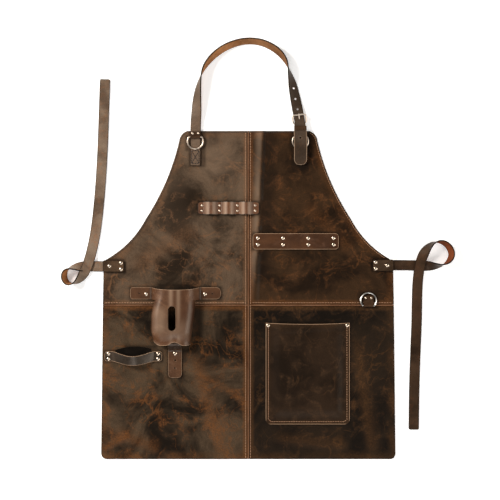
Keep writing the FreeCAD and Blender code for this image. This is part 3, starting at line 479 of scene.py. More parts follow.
def ribbon(
    name,
    points,
    across,
    width,
    thickness,
    materials,
    step=4.0 * MM,
    end_radius=0.0,
    far_radius=None,
    widths=(),
    stains=(),
    faded_and_sheen=(),
    pale_edge_from=None,
    **facts,
):
    """A strip of leather along a polyline. across is the direction of its width at each point. Each
    entry of widths, stains and faded_and_sheen is a pair: a distance along the strip, and
    how wide it is there, how dark with its own darker tone and painted shade, and how pale with painted
    highlight. Its edges are rubbed pale from the distance pale_edge_from on."""
    points, across = np.array(points), np.array(across)
    run = lengths(points)
    places = spread(0.0, run[-1], step)
    spots = at_lengths(points, places)
    sides = np.stack([np.interp(places, run, across[:, k]) for k in range(3)], axis=1)
    sides /= np.linalg.norm(sides, axis=1)[:, None]
    from_end = np.minimum(places, run[-1] - places)
    half = np.interp(places, *zip(*widths)) / 2 if widths else np.full(len(places), width / 2)
    far_radius = end_radius if far_radius is None else far_radius
    for radius, gap in ((end_radius, places), (far_radius, run[-1] - places)):
        inside = np.clip(radius - gap, 0, radius)
        half = half - radius + np.sqrt(radius**2 - inside**2)
    shares = spread(-width / 2, width / 2, 4.0 * MM) / (width / 2)
    sideways = half[:, None] * shares[None, :]
    rows = spots[:, None, :] + sides[:, None, :] * sideways[:, :, None]
    edge = np.minimum(half[:, None] * (1 - np.abs(shares))[None, :], from_end[:, None])
    dark = np.interp(places, *zip(*stains)) if stains else np.zeros(len(places))
    marks = {"stain": np.repeat(dark[:, None], len(shares), axis=1)}
    if faded_and_sheen:
        marks["faded_and_sheen"] = np.repeat(np.interp(places, *zip(*faded_and_sheen))[:, None], len(shares), axis=1)
    if pale_edge_from is not None:
        marks["faded_and_sheen"] = (edge < 1.0 * MM) * (places > pale_edge_from)[:, None]
        marks["stain"] = marks["stain"] * (1 - marks["faded_and_sheen"])
    return shell(name, rows, edge, thickness, materials, marks=marks, **facts)


def baked(obj):
    """Applies an object's modifiers to its mesh."""
    graph = bpy.context.evaluated_depsgraph_get()
    data = bpy.data.meshes.new_from_object(obj.evaluated_get(graph))
    obj.modifiers.clear()
    obj.data = data
    return obj


def prism(layers):
    """A closed cutter through layers of points, each with as many points, anticlockwise."""
    vertices = [tuple(p) for layer in layers for p in layer]
    data = bpy.data.meshes.new("cutter")
    data.from_pydata(vertices, [], tube_faces(len(layers), len(layers[0])))
    data.materials.append(cut_cream)
    return data


def cut(obj, cutters):
    """Cuts the cutters' shapes out of a piece and leaves a plain mesh."""
    for data in cutters:
        cutter = bpy.data.objects.new("cutter", data)
        bpy.context.scene.collection.objects.link(cutter)
        made = obj.modifiers.new("cut", "BOOLEAN")
        made.operation = "DIFFERENCE"
        made.solver = "EXACT"
        made.object = cutter
    bpy.context.view_layer.update()
    baked(obj)
    for data in cutters:
        bpy.data.meshes.remove(data)


PUNCH_LOW, PUNCH_HIGH = -10 * MM, 40 * MM


def punch(obj, places, radius, sides=20):
    """Punches upright round holes through a piece at the given places."""
    angles = [2 * math.pi * k / sides for k in range(sides)]
    ring = [(math.cos(a), math.sin(a)) for a in angles]
    cutters = []
    for x, y in places:
        circle = [(x + radius * c, y + radius * s) for c, s in ring]
        cutters.append(prism([[(*p, z) for p in circle] for z in (PUNCH_LOW, PUNCH_HIGH)]))
    cut(obj, cutters)


# A stitch from end to end: the place along it, its thickness and its rise, each as a share.
STITCH_RINGS = (
    (-0.5, 0.25, -0.55),
    (-0.32, 0.9, 0.0),
    (0.0, 1.0, 0.15),
    (0.32, 0.9, 0.0),
    (0.5, 0.25, -0.55),
)
STITCH_SIDES = 6
STITCH_SHARE = 0.82


def stitches(name, lines, material, pitch=5.5 * MM, size=0.55 * MM, lift=0.25 * MM, **facts):
    """Rows of single stitches that dip into the leather at both ends. Each line is a list of points
    on the surface."""
    vertices, faces = [], []
    for line in lines:
        points = np.array([list(p) for p in line], float)
        run = lengths(points)
        count = max(1, round(run[-1] / pitch))
        step = run[-1] / count
        middles = at_lengths(points, (np.arange(count) + 0.5) * step)
        ahead = at_lengths(points, np.minimum((np.arange(count) + 0.9) * step, run[-1]))
        for middle, front in zip(middles, ahead):
            along = Vector(front - middle).normalized()
            side = UP.cross(along).normalized()
            top = along.cross(side)
            first = len(vertices)
            for share, fat, rise in STITCH_RINGS:
                centre = Vector(middle) + along * (share * step * STITCH_SHARE)
                centre += top * (lift + rise * size)
                for k in range(STITCH_SIDES):
                    angle = 2 * math.pi * k / STITCH_SIDES
                    offset = side * math.cos(angle) + top * math.sin(angle)
                    vertices.append(centre + offset * (size * fat))
            faces += tube_faces(len(STITCH_RINGS), STITCH_SIDES, first)
    obj = bpy.data.objects.new(name, smooth_mesh(name, vertices, faces))
    return dress(obj, [material], **facts)


def islands(name):
    """The middles of a node's separate solids, from left to right."""
    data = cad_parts[name].data
    parent = list(range(len(data.vertices)))

    def root(v):
        while parent[v] != v:
            parent[v] = parent[parent[v]]
            v = parent[v]
        return v

    keyed = {}
    for v in data.vertices:
        first = keyed.setdefault(tuple(round(c, 6) for c in v.co), v.index)
        parent[root(v.index)] = root(first)
    for e in data.edges:
        parent[root(e.vertices[0])] = root(e.vertices[1])
    groups = {}
    for v in data.vertices:
        groups.setdefault(root(v.index), []).append(v.co)
    middles = []
    for group in groups.values():
        xs, ys = [c.x for c in group], [c.y for c in group]
        middles.append(((min(xs) + max(xs)) / 2, (min(ys) + max(ys)) / 2))
    return sorted(middles)


# ---------------------------------------------------------------- cords: neck strap and waist ties

# Each route point is x, y, z in metres and the roll that lifts the strap's left edge, in degrees.
TIE_LEFT_ROUTE = [
    (-0.2560, 0.0417, 0.0038, 0),
    (-0.2710, 0.04145, 0.0038, 0),
    (-0.2875, 0.0413, 0.0038, 0),
    (-0.3045, 0.0412, 0.0038, 0),
    (-0.3175, 0.0413, 0.0019, 0),
    (-0.3320, 0.0412, 0.0018, 2),
    (-0.3485, 0.0399, 0.0094, 52),
    (-0.3630, 0.0386, 0.0110, 80),
    (-0.3730, 0.0320, 0.0107, 110),
    (-0.3754, 0.0175, 0.0103, 118),
    (-0.3675, 0.0050, 0.0107, 110),
    (-0.3540, 0.0060, 0.0110, 84),
    (-0.3420, 0.0160, 0.0094, 50),
    (-0.3315, 0.0325, 0.0066, 8),
    (-0.3240, 0.0530, 0.0054, 0),
    (-0.3170, 0.0806, 0.0020, 0),
    (-0.3102, 0.1170, 0.0014, 0),
    (-0.3047, 0.1660, 0.0014, 0),
    (-0.3002, 0.2210, 0.0014, 0),
    (-0.2969, 0.2785, 0.0014, 0),
    (-0.2945, 0.3500, 0.0014, 0),
    (-0.2920, 0.4227, 0.0014, 0),
]
TIE_RIGHT_ROUTE = [
    (0.2560, 0.0432, 0.0038, 0),
    (0.2710, 0.04345, 0.0038, 0),
    (0.2875, 0.0436, 0.0038, 0),
    (0.3045, 0.04365, 0.0038, 0),
    (0.3180, 0.0435, 0.0018, 0),
    (0.3370, 0.0432, 0.0016, 0),
    (0.3575, 0.0425, 0.0018, 2),
    (0.3775, 0.0418, 0.0094, 52),
    (0.3940, 0.0426, 0.0110, 80),
    (0.4086, 0.0510, 0.0107, 110),
    (0.4152, 0.0665, 0.0103, 118),
    (0.4075, 0.0835, 0.0104, 117),
    (0.3920, 0.0926, 0.0107, 108),
    (0.3765, 0.0900, 0.0110, 84),
    (0.3635, 0.0780, 0.0094, 50),
    (0.3535, 0.0600, 0.0066, 8),
    (0.3484, 0.0390, 0.0054, 0),
    (0.3451, 0.0112, 0.0020, 0),
    (0.3439, -0.0214, 0.0014, 0),
    (0.3432, -0.0765, 0.0014, 0),
    (0.3406, -0.1336, 0.0014, 0),
    (0.3379, -0.2132, 0.0014, 0),
    (0.3373, -0.2917, 0.0014, 0),
]
NECK_ROUTE = [
    (-0.1082, 0.2460, 0.0038, 0),
    (-0.1078, 0.2730, 0.0038, 0),
    (-0.1075, 0.3010, 0.0038, 0),
    (-0.1072, 0.3310, 0.0038, 0),
    (-0.1056, 0.3520, 0.0050, -18),
    (-0.1046, 0.3760, 0.0078, -37),
    (-0.1024, 0.3990, 0.0097, -55),
    (-0.0988, 0.4190, 0.0108, -75),
    (-0.0944, 0.4360, 0.0110, -92),
    (-0.0865, 0.4515, 0.0108, -107),
    (-0.0725, 0.4685, 0.0105, -116),
    (-0.0495, 0.4860, 0.0104, -119),
    (-0.0220, 0.4968, 0.0104, -117),
    (0.0020, 0.5002, 0.0104, -115),
    (0.0270, 0.4972, 0.0104, -117),
    (0.0495, 0.4870, 0.0104, -119),
    (0.0658, 0.4740, 0.0105, -116),
    (0.0760, 0.4600, 0.0108, -106),
    (0.0814, 0.4455, 0.0110, -88),
    (0.0856, 0.4290, 0.0104, -65),
    (0.0904, 0.4100, 0.0079, -38),
    (0.0962, 0.3810, 0.0048, -18),
    (0.0994, 0.3650, 0.0042, -5),
    (0.1022, 0.3505, 0.0049, 0),
    (0.1049, 0.3325, 0.0125, 0),
    (0.1054, 0.3190, 0.0108, 0),
    (0.1060, 0.3025, 0.0125, 0),
    (0.1063, 0.2830, 0.0112, 0),
    (0.1063, 0.2655, 0.0087, 0),
    (0.1061, 0.2480, 0.0059, 0),
]


def curve_points(route):
    """Points along the smooth curve whose control points are the route's."""
    data = bpy.data.curves.new("route", "CURVE")
    data.dimensions = "3D"
    data.resolution_u = 10
    spline = data.splines.new("NURBS")
    spline.points.add(len(route) - 1)
    for point, (x, y, z, _) in zip(spline.points, route):
        point.co = (x, y, z, 1.0)
    spline.order_u = 3
    spline.use_endpoint_u = True
    holder = bpy.data.objects.new("route", data)
    mesh = bpy.data.meshes.new_from_object(holder)
    points = np.array([list(v.co) for v in mesh.vertices])
    bpy.data.objects.remove(holder)
    return points


def rolls_along(points, route):
    """The roll at each point of the curve, in radians, spread evenly between the route's points."""
    run = lengths(points)
    marks, start = [], 0
    for x, y, z, _ in route:
        gaps = np.linalg.norm(points[start:] - np.array([x, y, z]), axis=1)
        start += int(np.argmin(gaps))
        marks.append(run[start])
    rolls = np.interp(run, marks, [math.radians(entry[3]) for entry in route])
    for _ in range(30):
        rolls[1:-1] = (rolls[:-2] + 2 * rolls[1:-1] + rolls[2:]) / 4
    return rolls


STRAP_WIDTH, STRAP_THICKNESS, STRAP_CORNER = 21 * MM, 2.4 * MM, 3 * MM


def strap(node_name, route, materials, far_end="bare", far_radius=STRAP_CORNER, **shape):
    """A flat strap of saddle leather that lies and twists along its route. It leaves what it is sewn to
    at the route's second point."""
    points = curve_points(route)
    rolls = rolls_along(points, route)
    along = np.gradient(points, axis=0)
    across = []
    for direction, roll in zip(along, rolls):
        forward = Vector(direction).normalized()
        left = UP.cross(forward).normalized()
        top = forward.cross(left)
        across.append(list(left * math.cos(roll) + top * math.sin(roll)))
    made = ribbon(
        node_name + "_leather",
        points,
        across,
        STRAP_WIDTH,
        STRAP_THICKNESS,
        materials,
        end_radius=STRAP_CORNER,
        far_radius=far_radius,
        slot="strap_leather",
        stands_for=[node_name],
        **shape,
    )
    return made


strap("waist_tie_left", TIE_LEFT_ROUTE, [leather_tie, flesh, cut_dark])
strap("waist_tie_right", TIE_RIGHT_ROUTE, [leather_tie_dark, flesh_red, cut_dark])
neck_strap = strap(
    "neck_strap",
    NECK_ROUTE,
    [leather_strap, flesh, cut_dark],
    far_end="object",
    far_radius=11 * MM,
    widths=[(0.0, 21 * MM), (0.53, 21.5 * MM), (0.55, 25.6 * MM), (0.63, 26 * MM)],
    stains=[(0.0, 0.2), (0.07, 0.0), (0.26, 0.1), (0.36, 0.7), (0.62, 0.8)],
    pale_edge_from=0.538,
)
HOLE_RADIUS = 1.9 * MM
STRAP_HOLES = [(0.0923, 0.4035), (0.0959, 0.3820), (0.1002, 0.3610), (0.1059, 0.3025)]
punch(neck_strap, STRAP_HOLES, HOLE_RADIUS)

# ---------------------------------------------------------------- the lie of the panels

PANEL_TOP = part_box("bib_panel_left")[1].z
PANEL_THICKNESS = PANEL_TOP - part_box("bib_panel_left")[0].z
FITTINGS = [
    "upper_tool_loops",
    "lower_tool_loops",
    "towel_loop",
    "pocket_front",
    "tie_tab_left",
    "tie_tab_right",
    "ring_holder_waist",
    "waist_ring",
    "shoulder_ring_left",
    "shoulder_ring_right",
]
fitting_boxes = [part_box(n) for n in FITTINGS]
ear_low, ear_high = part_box("holster")
tongue_low, tongue_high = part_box("holster_tongue")
# The places where the holster's ears, its tongue and the two ends of the neck strap lie.
EARS_HIGH = 26 * MM
STRAP_ENDS = [
    (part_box("neck_strap")[0].xy.to_3d(), Vector((-0.09, 0.33, 0))),
    (Vector((0.09, 0.24, 0)), Vector((0.12, 0.33, 0))),
]
fitting_boxes.append((Vector((ear_low.x, ear_high.y - EARS_HIGH, 0)), ear_high))
fitting_boxes.append((tongue_low, tongue_high))
fitting_boxes += STRAP_ENDS
waist_y = sum(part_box("waist_seam_welt_left")[k].y for k in (0, 1)) / 2
# Soft folds in the leather: two ends, height, and half width to the left and right of its direction.
FOLDS = [
    ((0.0165, -0.028), (0.0300, 0.317), 4.2 * MM, 11 * MM, 3.6 * MM),
    ((-0.296, -0.334), (-0.248, -0.305), 2.2 * MM, 9 * MM, 5 * MM),
    ((-0.270, -0.300), (-0.190, -0.330), 1.2 * MM, 14 * MM, 10 * MM),
    ((-0.110, -0.150), (-0.060, -0.330), 1.2 * MM, 16 * MM, 9 * MM),
    ((-0.098, -0.180), (-0.020, -0.225), 1.1 * MM, 8 * MM, 6 * MM),
    ((-0.230, 0.040), (-0.120, 0.110), 1.0 * MM, 18 * MM, 14 * MM),
    ((0.220, -0.120), (0.250, -0.320), 1.3 * MM, 14 * MM, 9 * MM),
    ((0.060, -0.310), (0.190, -0.325), 1.0 * MM, 12 * MM, 9 * MM),
    ((0.120, 0.160), (0.200, 0.080), 1.0 * MM, 15 * MM, 10 * MM),
]


def beside(x, y, low, high):
    """How far a place is outside a box seen from above."""
    return math.hypot(max(low.x - x, 0, x - high.x), max(low.y - y, 0, y - high.y))


def from_crest(x, y, start, end):
    """Where a place is seen from a line: the share along it, and the distance to the left of it."""
    ax, ay = start
    bx, by = end
    length = math.hypot(bx - ax, by - ay)
    share = ((x - ax) * (bx - ax) + (y - ay) * (by - ay)) / length**2
    side = ((bx - ax) * (y - ay) - (by - ay) * (x - ax)) / length
    return share, side + 2 * MM * noise.noise(Vector((x * 30, y * 30, 7.0)))


def fold_height(x, y, start, end, height, left_half, right_half):
    share, side = from_crest(x, y, start, end)
    if not -0.15 < share < 1.15:
        return 0.0
    ends = smoothstep(-0.15, 0.1, share) * (1 - smoothstep(1.02, 1.15, share))
    half = left_half if side > 0 else right_half
    return height * ends * bell(side, half)


def fold_sheen(x, y):
    """The long fold beside the centre seam: the painted highlight on its left flank, and the painted
    shade in its lee.
    """
    share, side = from_crest(x, y, *FOLDS[0][:2])
    if x < 3 * MM or share < 0.05:
        return 0.0, 0.0
    along = smoothstep(0.05, 0.3, share)
    strong = 0.5 + 0.5 * noise.noise(Vector((x * 20, y * 9, 8.0)))
    flank = smoothstep(-1 * MM, 5 * MM, side) * (1 - smoothstep(5 * MM, 22 * MM, side))
    lee = (1 - smoothstep(-3.0 * MM, 3.0 * MM, side)) * (1 - smoothstep(14 * MM, 46 * MM, -side))
    return flank * along * strong, 0.75 * lee * along


def fitting_gap(x, y):
    """How far a place is from the nearest fitting, seen from above."""
    return min(beside(x, y, low, high) for low, high in fitting_boxes)


def ripple(x, y):
    """How far the panels' surface lies above flat. It is nothing near what is fastened to them."""
    gap = fitting_gap(x, y)
    if gap <= 0:
        return 0.0
    waves = 0.55 * MM * (noise.noise(Vector((x * 11, y * 11, 1.5))) + 0.3)
    waves += 0.22 * MM * noise.noise(Vector((x * 32, y * 32, 4.5)))
    folds = sum(fold_height(x, y, *fold) for fold in FOLDS)
    welt_gap = min(abs(x), abs(y - waist_y))
    folds *= smoothstep(2 * MM, 7 * MM, welt_gap)
    waves = smoothstep(3 * MM, 26 * MM, gap) * max(waves, -0.1 * MM)
    return waves + smoothstep(1 * MM, 10 * MM, gap) * folds


def wear(x, y, free_gap, seam_gap):
    """How much a place is rubbed pale: along seams and free edges and on the tops of folds."""
    patchy = 0.5 + 0.9 * noise.noise(Vector((x * 24, y * 24, 3.0)))
    seam = 0.75 * (1 - smoothstep(5 * MM, 11 * MM, seam_gap))
    rim = 0.75 * (1 - smoothstep(4 * MM, 20 * MM, free_gap)) * patchy
    tops = sum(fold_height(x, y, *fold) for fold in FOLDS[1:]) / (2 * MM)
    return min(1.0, max(0.0, seam, rim, 0.8 * tops))


# Painted shadows: above the openings of the loop, holster and pocket, and beside the holster and
# its tongue. Each is a box seen from above (left, right, low, high) and how far its edge is blurred.
PAINTED_SHADOWS = [
    (-0.250, -0.190, -0.1235, -0.1235, 8 * MM),
    (-0.180, -0.118, 0.0015, 0.0015, 9 * MM),
    (0.050, 0.195, -0.0725, -0.0725, 5 * MM),
    (-0.115, -0.100, -0.098, -0.048, 14 * MM),
    (-0.134, -0.131, -0.150, -0.132, 11 * MM),
]


def stain(x, y):
    """How much painted shade a place gets: contact shade close round the fittings, and the painted
    shadows.
    """
    amount = 0.75 * (1 - smoothstep(0.0, 6 * MM, fitting_gap(x, y)))
    for left, right, bottom, top, blur in PAINTED_SHADOWS:
        gap = math.hypot(max(left - x, 0, x - right), max(bottom - y, 0, y - top))
        amount = max(amount, 0.95 * (1 - smoothstep(0.0, blur, gap)))
    return min(1.0, amount)


def painted_top_sheen(x, y):
    """How strong a painted sheen a place gets: the top of the bib's left panel more than the rest."""
    patchy = 0.5 + noise.noise(Vector((x * 14, y * 14, 5.0)))
    return max(0.0, 0.2 * patchy * smoothstep(0.06, 0.26, y)) if x < 0 else 0.0


def outer_reach(name, side):
    """A function giving a flat node's outermost x at each y, on the side -1 or 1."""
    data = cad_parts[name].data
    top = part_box(name)[1].z
    low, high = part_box(name)
    ends = [[data.vertices[v].co for v in e.vertices] for e in data.edges]
    level = [(a, b) for a, b in ends if min(a.z, b.z) > top - 0.01 * MM and abs(a.y - b.y) > 1e-9]
    start = np.array([list(a) for a, _ in level])
    stop = np.array([list(b) for _, b in level])

    def reach(y):
        y = min(max(y, low.y + 0.001 * MM), high.y - 0.001 * MM)
        share = (y - start[:, 1]) / (stop[:, 1] - start[:, 1])
        hits = (share >= 0) & (share <= 1)
        xs = start[hits, 0] + (stop[hits, 0] - start[hits, 0]) * share[hits]
        return xs.max() if side > 0 else xs.min()

    return reach


DIP_DEPTH, DIP_REACH = 1.3 * MM, 1.7 * MM


def seam_dip(gap):
    """How far the leather curls down into a seam, from the distance to it."""
    return DIP_DEPTH * bell(gap, DIP_REACH)


CELL = 4.0 * MM
SEWN_EDGE = 0.6 * MM


def panel(name, node_name, side, material, free_bottom, slot):
    """One leather panel. Its inner edge and its edge at the waist are sewn, the others are free."""
    low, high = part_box(node_name)
    reach = outer_reach(node_name, side)
    inner = low.x if side > 0 else high.x
    width = high.x - low.x
    ys = spread(low.y, high.y, CELL)
    if not free_bottom:
        corner = high.y - 22 * MM
        ys = np.unique(np.concatenate([ys[ys < corner], np.linspace(corner, high.y, 16)]))
    shares = spread(0.0, width, CELL) / width
    grid = []
    for y in ys:
        outer = reach(y)
        slope = (reach(y + 0.5 * MM) - reach(y - 0.5 * MM)) / MM
        lean = 1 / math.hypot(1, slope)
        row = []
        for share in shares if side < 0 else shares[::-1]:
            x = inner + (outer - inner) * share
            seam_gap = abs(x - inner)
            waist_gap = abs(y - (high.y if free_bottom else low.y))
            free_gap = min(abs(outer - x) * lean, abs(y - (low.y if free_bottom else high.y)))
            sewn_gap = min(seam_gap, waist_gap)
            z = PANEL_TOP + ripple(x, y) - min(max(seam_dip(seam_gap), seam_dip(waist_gap)), DIP_DEPTH)
            edge = min(free_gap, sewn_gap + SEWN_EDGE)
            # Painted light on the panels: highlight on the fold's flank and the bib's top, and shade in
            # the fold's lee, round the fittings and in the painted shadows.
            pale, lee = fold_sheen(x, y)
            stain_and_shade_share, painted_highlight = max(stain(x, y), lee), max(pale, painted_top_sheen(x, y))
            row.append((x, y, z, edge, wear(x, y, free_gap, sewn_gap), stain_and_shade_share, painted_highlight))
        grid.append(row)
    grid = np.array(grid)
    return shell(
        name,
        grid[:, :, :3],
        grid[:, :, 3],
        PANEL_THICKNESS,
        [material, flesh, cut_dark],
        offset=-1.0,
        marks={"wear": grid[:, :, 4], "stain": grid[:, :, 5], "faded_and_sheen": grid[:, :, 6]},
        stands_for=[node_name],
        slot=slot,
    )


panel("bib_left_leather", "bib_panel_left", -1, leather_left, False, "leather_left")
panel("bib_right_leather", "bib_panel_right", 1, leather_right, False, "leather_right")
panel("skirt_left_leather", "skirt_panel_left", -1, leather_left_low, True, "leather_left")
panel("skirt_right_leather", "skirt_panel_right", 1, leather_right_low, True, "leather_right")


def on_panel(x, y):
    return (x, y, PANEL_TOP + ripple(x, y))


def straight(start, end, step=4 * MM):
    """Points on the panels along a straight line seen from above."""
    count = max(2, math.ceil(math.dist(start, end) / step))
    shares = np.linspace(0, 1, count + 1)
    return [
        on_panel(start[0] + (end[0] - start[0]) * s, start[1] + (end[1] - start[1]) * s)
        for s in shares
    ]


# ---------------------------------------------------------------- welts and seam stitches

leather_welt = leather(
    "leather_welt", (118, 78, 54), (150, 106, 76), (176, 134, 102), 0.6, None, 0.42
)
WELT_RADIUS, WELT_SIDES = 1.35 * MM, 10


def piping(welt, start, end):
    """A rounded welt that follows the lie of the panels."""
    line = straight(start, end, 5 * MM)
    along = Vector((end[0] - start[0], end[1] - start[1], 0)).normalized()
    side = UP.cross(along)
    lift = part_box(welt)[1].z - PANEL_TOP - WELT_RADIUS
    vertices = []
    for point in line:
        wobble = 0.1 * MM * noise.noise(Vector((point[0] * 90, point[1] * 90, 2.0)))
        centre = Vector(point) + side * wobble + UP * lift
        for k in range(WELT_SIDES):
            angle = 2 * math.pi * k / WELT_SIDES
            vertices.append(centre + (side * math.cos(angle) + UP * math.sin(angle)) * WELT_RADIUS)
    faces = tube_faces(len(line), WELT_SIDES)
    # A known fault: the two end caps face inwards.
    faces[-2:] = [face[::-1] for face in faces[-2:]]
    name = welt + "_piping"
    obj = bpy.data.objects.new(name, smooth_mesh(name, vertices, faces))
    return dress(obj, [leather_welt], slot="welt_leather", stands_for=[welt])


for welt in ("centre_seam_welt", "waist_seam_welt_left", "waist_seam_welt_right"):
    low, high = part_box(welt)
    upright = high.y - low.y > high.x - low.x
    middle = ((low.x + high.x) / 2, (low.y + high.y) / 2)
    if upright:
        piping(welt, (middle[0], low.y), (middle[0], high.y))
    else:
        piping(welt, (low.x, middle[1]), (high.x, middle[1]))

bib_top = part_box("bib_panel_left")[1].y
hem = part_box("skirt_panel_left")[0].y
# The rows beside the centre seam, and the row above the waist seam with its inner and outer ends.
SEAM_ROWS = (-5.6 * MM, 4.4 * MM)
WAIST_ROW, WAIST_ROW_IN, WAIST_ROW_OUT = 5.2 * MM, 8 * MM, 292 * MM
seam_lines = [straight((x, hem + 2 * MM), (x, bib_top - 2 * MM)) for x in SEAM_ROWS]
for start, end in ((-WAIST_ROW_OUT, -WAIST_ROW_IN), (WAIST_ROW_IN, WAIST_ROW_OUT)):
    seam_lines.append(straight((start, waist_y + WAIST_ROW), (end, waist_y + WAIST_ROW)))
stitches("seam_stitches", seam_lines, thread_tan, slot="leather_left")
EDGE_STITCH = 3.2 * MM
ARMHOLE_LOW = 58 * MM
TOP_ROW_HALF = 123.5 * MM


def armhole_line(side):
    """The stitch line inside a bib panel's armhole and top corner."""
    node_name = "bib_panel_left" if side < 0 else "bib_panel_right"
    reach = outer_reach(node_name, side)
    line = []
    for y in np.linspace(ARMHOLE_LOW, bib_top - EDGE_STITCH, 80):
        slope = (reach(y + 0.5 * MM) - reach(y - 0.5 * MM)) / MM
        line.append(on_panel(reach(y) - side * EDGE_STITCH * math.hypot(1, slope), y))
    return line


top_y = bib_top - EDGE_STITCH
top_line = straight((-TOP_ROW_HALF, top_y), (TOP_ROW_HALF, top_y))
# One thread in shaded and lit copies: painted shade makes the left edge's stitches dark, and the right
# edge's are the lit tan.
stitches("edge_stitches_left", [armhole_line(-1), top_line], thread_dark, 4.6 * MM, slot="leather_left")
stitches("edge_stitches_right", [armhole_line(1)], thread_tan, 4.6 * MM, slot="leather_right")

# ---------------------------------------------------------------- tool strips and towel loop

STRIP_THICKNESS = 2.0 * MM


def strip(
    node_name,
    rivets_name,
    materials,
    seat_half,
    end_radius,
    power=2.0,
    sag=0.0,
    roll=0.0,
    sheen=0.0,
):
    """A strip along X, flat at its rivets and bowed up between them. sag moves the middle of each
    bow towards -Y, and roll turns its upper edge up, in radians. sheen is how strong a painted
    highlight the sides of its bows get."""
    low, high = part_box(node_name)
    xs = [x for x, _ in islands(rivets_name)]
    xs = [x for n, x in enumerate(xs) if n == 0 or x - xs[n - 1] > 2 * MM]
    rise = high.z - low.z - STRIP_THICKNESS
    seat = low.z + STRIP_THICKNESS / 2
    middle = (low.y + high.y) / 2
    points, across, painted_sheen = [(low.x, middle, seat)], [(0.0, 1.0, 0.0)], [0.0]
    for a, b in zip(xs, xs[1:]):
        start, end = a + seat_half, b - seat_half
        for share in np.linspace(0, 1, 41):
            wave = math.sin(math.pi * share)
            bow = wave**power
            points.append((start + (end - start) * share, middle - sag * bow, seat + rise * bow))
            across.append((0.0, math.cos(roll * wave), math.sin(roll * wave)))
            painted_sheen.append(sheen * math.sin(2 * math.pi * share) ** 2)
    points.append((high.x, middle, seat))
    across.append((0.0, 1.0, 0.0))
    painted_sheen.append(0.0)
    return ribbon(
        node_name + "_leather",
        points,
        across,
        high.y - low.y,
        STRIP_THICKNESS,
        materials,
        step=1.6 * MM,
        end_radius=end_radius,
        faded_and_sheen=list(zip(lengths(np.array(points)), painted_sheen)),
        stands_for=[node_name],
    )


strip(
    "upper_tool_loops",
    "upper_loop_rivets",
    [leather_glossy, flesh, cut_dark],
    seat_half=4.2 * MM,
    end_radius=6 * MM,
    power=1.0,
    sheen=0.5,
)
strip(
    "lower_tool_loops",
    "lower_loop_rivets",
    [leather_strip, flesh, cut_cream],
    seat_half=5 * MM,
    end_radius=7 * MM,
)
strip(
    "towel_loop",
    "towel_loop_rivets",
    [leather_towel, flesh, cut_cream],
    seat_half=7.5 * MM,
    end_radius=5 * MM,
    power=1.3,
    sag=8 * MM,
    roll=0.35,
)

# ---------------------------------------------------------------- tie tabs


def tab(node_name):
    """The flat leather tab that holds a waist tie."""
    low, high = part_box(node_name)
    middle = (low + high) / 2
    points = [(low.x, middle.y, middle.z), (high.x, middle.y, middle.z)]
    return ribbon(
        node_name + "_leather",
        np.array(points),
        np.array([(0.0, 1.0, 0.0)] * 2),
        high.y - low.y,
        high.z - low.z,
        [leather_tab, flesh, cut_dark],
        end_radius=3.5 * MM,
        slot="strap_leather",
        stands_for=[node_name],
    )


tab("tie_tab_left")
tab("tie_tab_right")

# ---------------------------------------------------------------- holster

HOLSTER_THICKNESS = 2.4 * MM
HOLSTER_CELL = 3.5 * MM
FRONT_COLUMNS, EAR_COLUMNS = 22, 14
EAR_WIDTH = 24.3 * MM
# How far from the middle the leather bends flat into the ears, and how round each ear's end is.
BEND_HALF = 49.5 * MM
EAR_CORNERS = (5 * MM, 10 * MM)
EAR_HOLES = [(-222.3 * MM, -13.6 * MM), (-73.3 * MM, -14.7 * MM)]
EAR_HOLE_RADIUS = 1.5 * MM
SLOT_LOW, SLOT_HIGH = Vector((-162.25, -88.7)) * MM, Vector((-146.55, -39.0)) * MM
SLOT_MIDDLE_X = (SLOT_LOW.x + SLOT_HIGH.x) / 2
SLOT_SIDES, SLOT_BEVEL = 32, 2.6 * MM
TONGUE_X = -149.4 * MM
# Painted highlights on the front: two streaks beside the slot and a patch on the left.
BEAMS = (-2 * MM, 13 * MM)
PATCH_X = -30 * MM


def front_halves(down):
    """How far the holster's front reaches left and right of its middle, from top (0) to bottom (1)."""
    left = 36.8 + 9.4 * smoothstep(0.05, 0.55, down) - 4.0 * smoothstep(0.75, 1.0, down)
    right = 36.8 - 8.5 * smoothstep(0.25, 1.0, down)
    return left * MM, right * MM


def holster_section(half, crown, foot_x, foot_z, ear_x):
    """Half of a cross-section of the holster, from its crown outwards, as points (x, 0, z)."""
    shoulder, side = (half - 9 * MM, 0, crown - 3.6 * MM), (half, 0, crown - 10 * MM)
    front = softened([(0, 0, crown), shoulder, side, (foot_x, 0, foot_z)], 3.5 * MM)
    places = 1 - (1 - np.linspace(0, 1, EAR_COLUMNS + 1)[1:]) ** 2
    ear = [(foot_x + (ear_x - foot_x) * s, 0, foot_z) for s in places]
    columns = np.linspace(0, lengths(front)[-1], FRONT_COLUMNS + 1)
    return np.concatenate([at_lengths(front, columns), np.array(ear)])


def front_lift(x, column, down):
    """How far a place on the front is moved up. The top edge sags in its middle, and the low edge is
    notched over the tongue and rounded at its corners."""
    share = max(-1.0, min(1.0, column / FRONT_COLUMNS))
    hollow = 4.6 * MM * (1 - share**2) * (1 - smoothstep(0.0, 0.3, down))
    notch = 9.0 * MM * bell(x - TONGUE_X, 13 * MM) - 2.0 * MM
    corners = 9 * MM * smoothstep(0.55, 1.0, -share) + 2 * MM * smoothstep(0.6, 1.0, share)
    return (max(notch, 0) + corners) * smoothstep(0.7, 1.0, down) - hollow


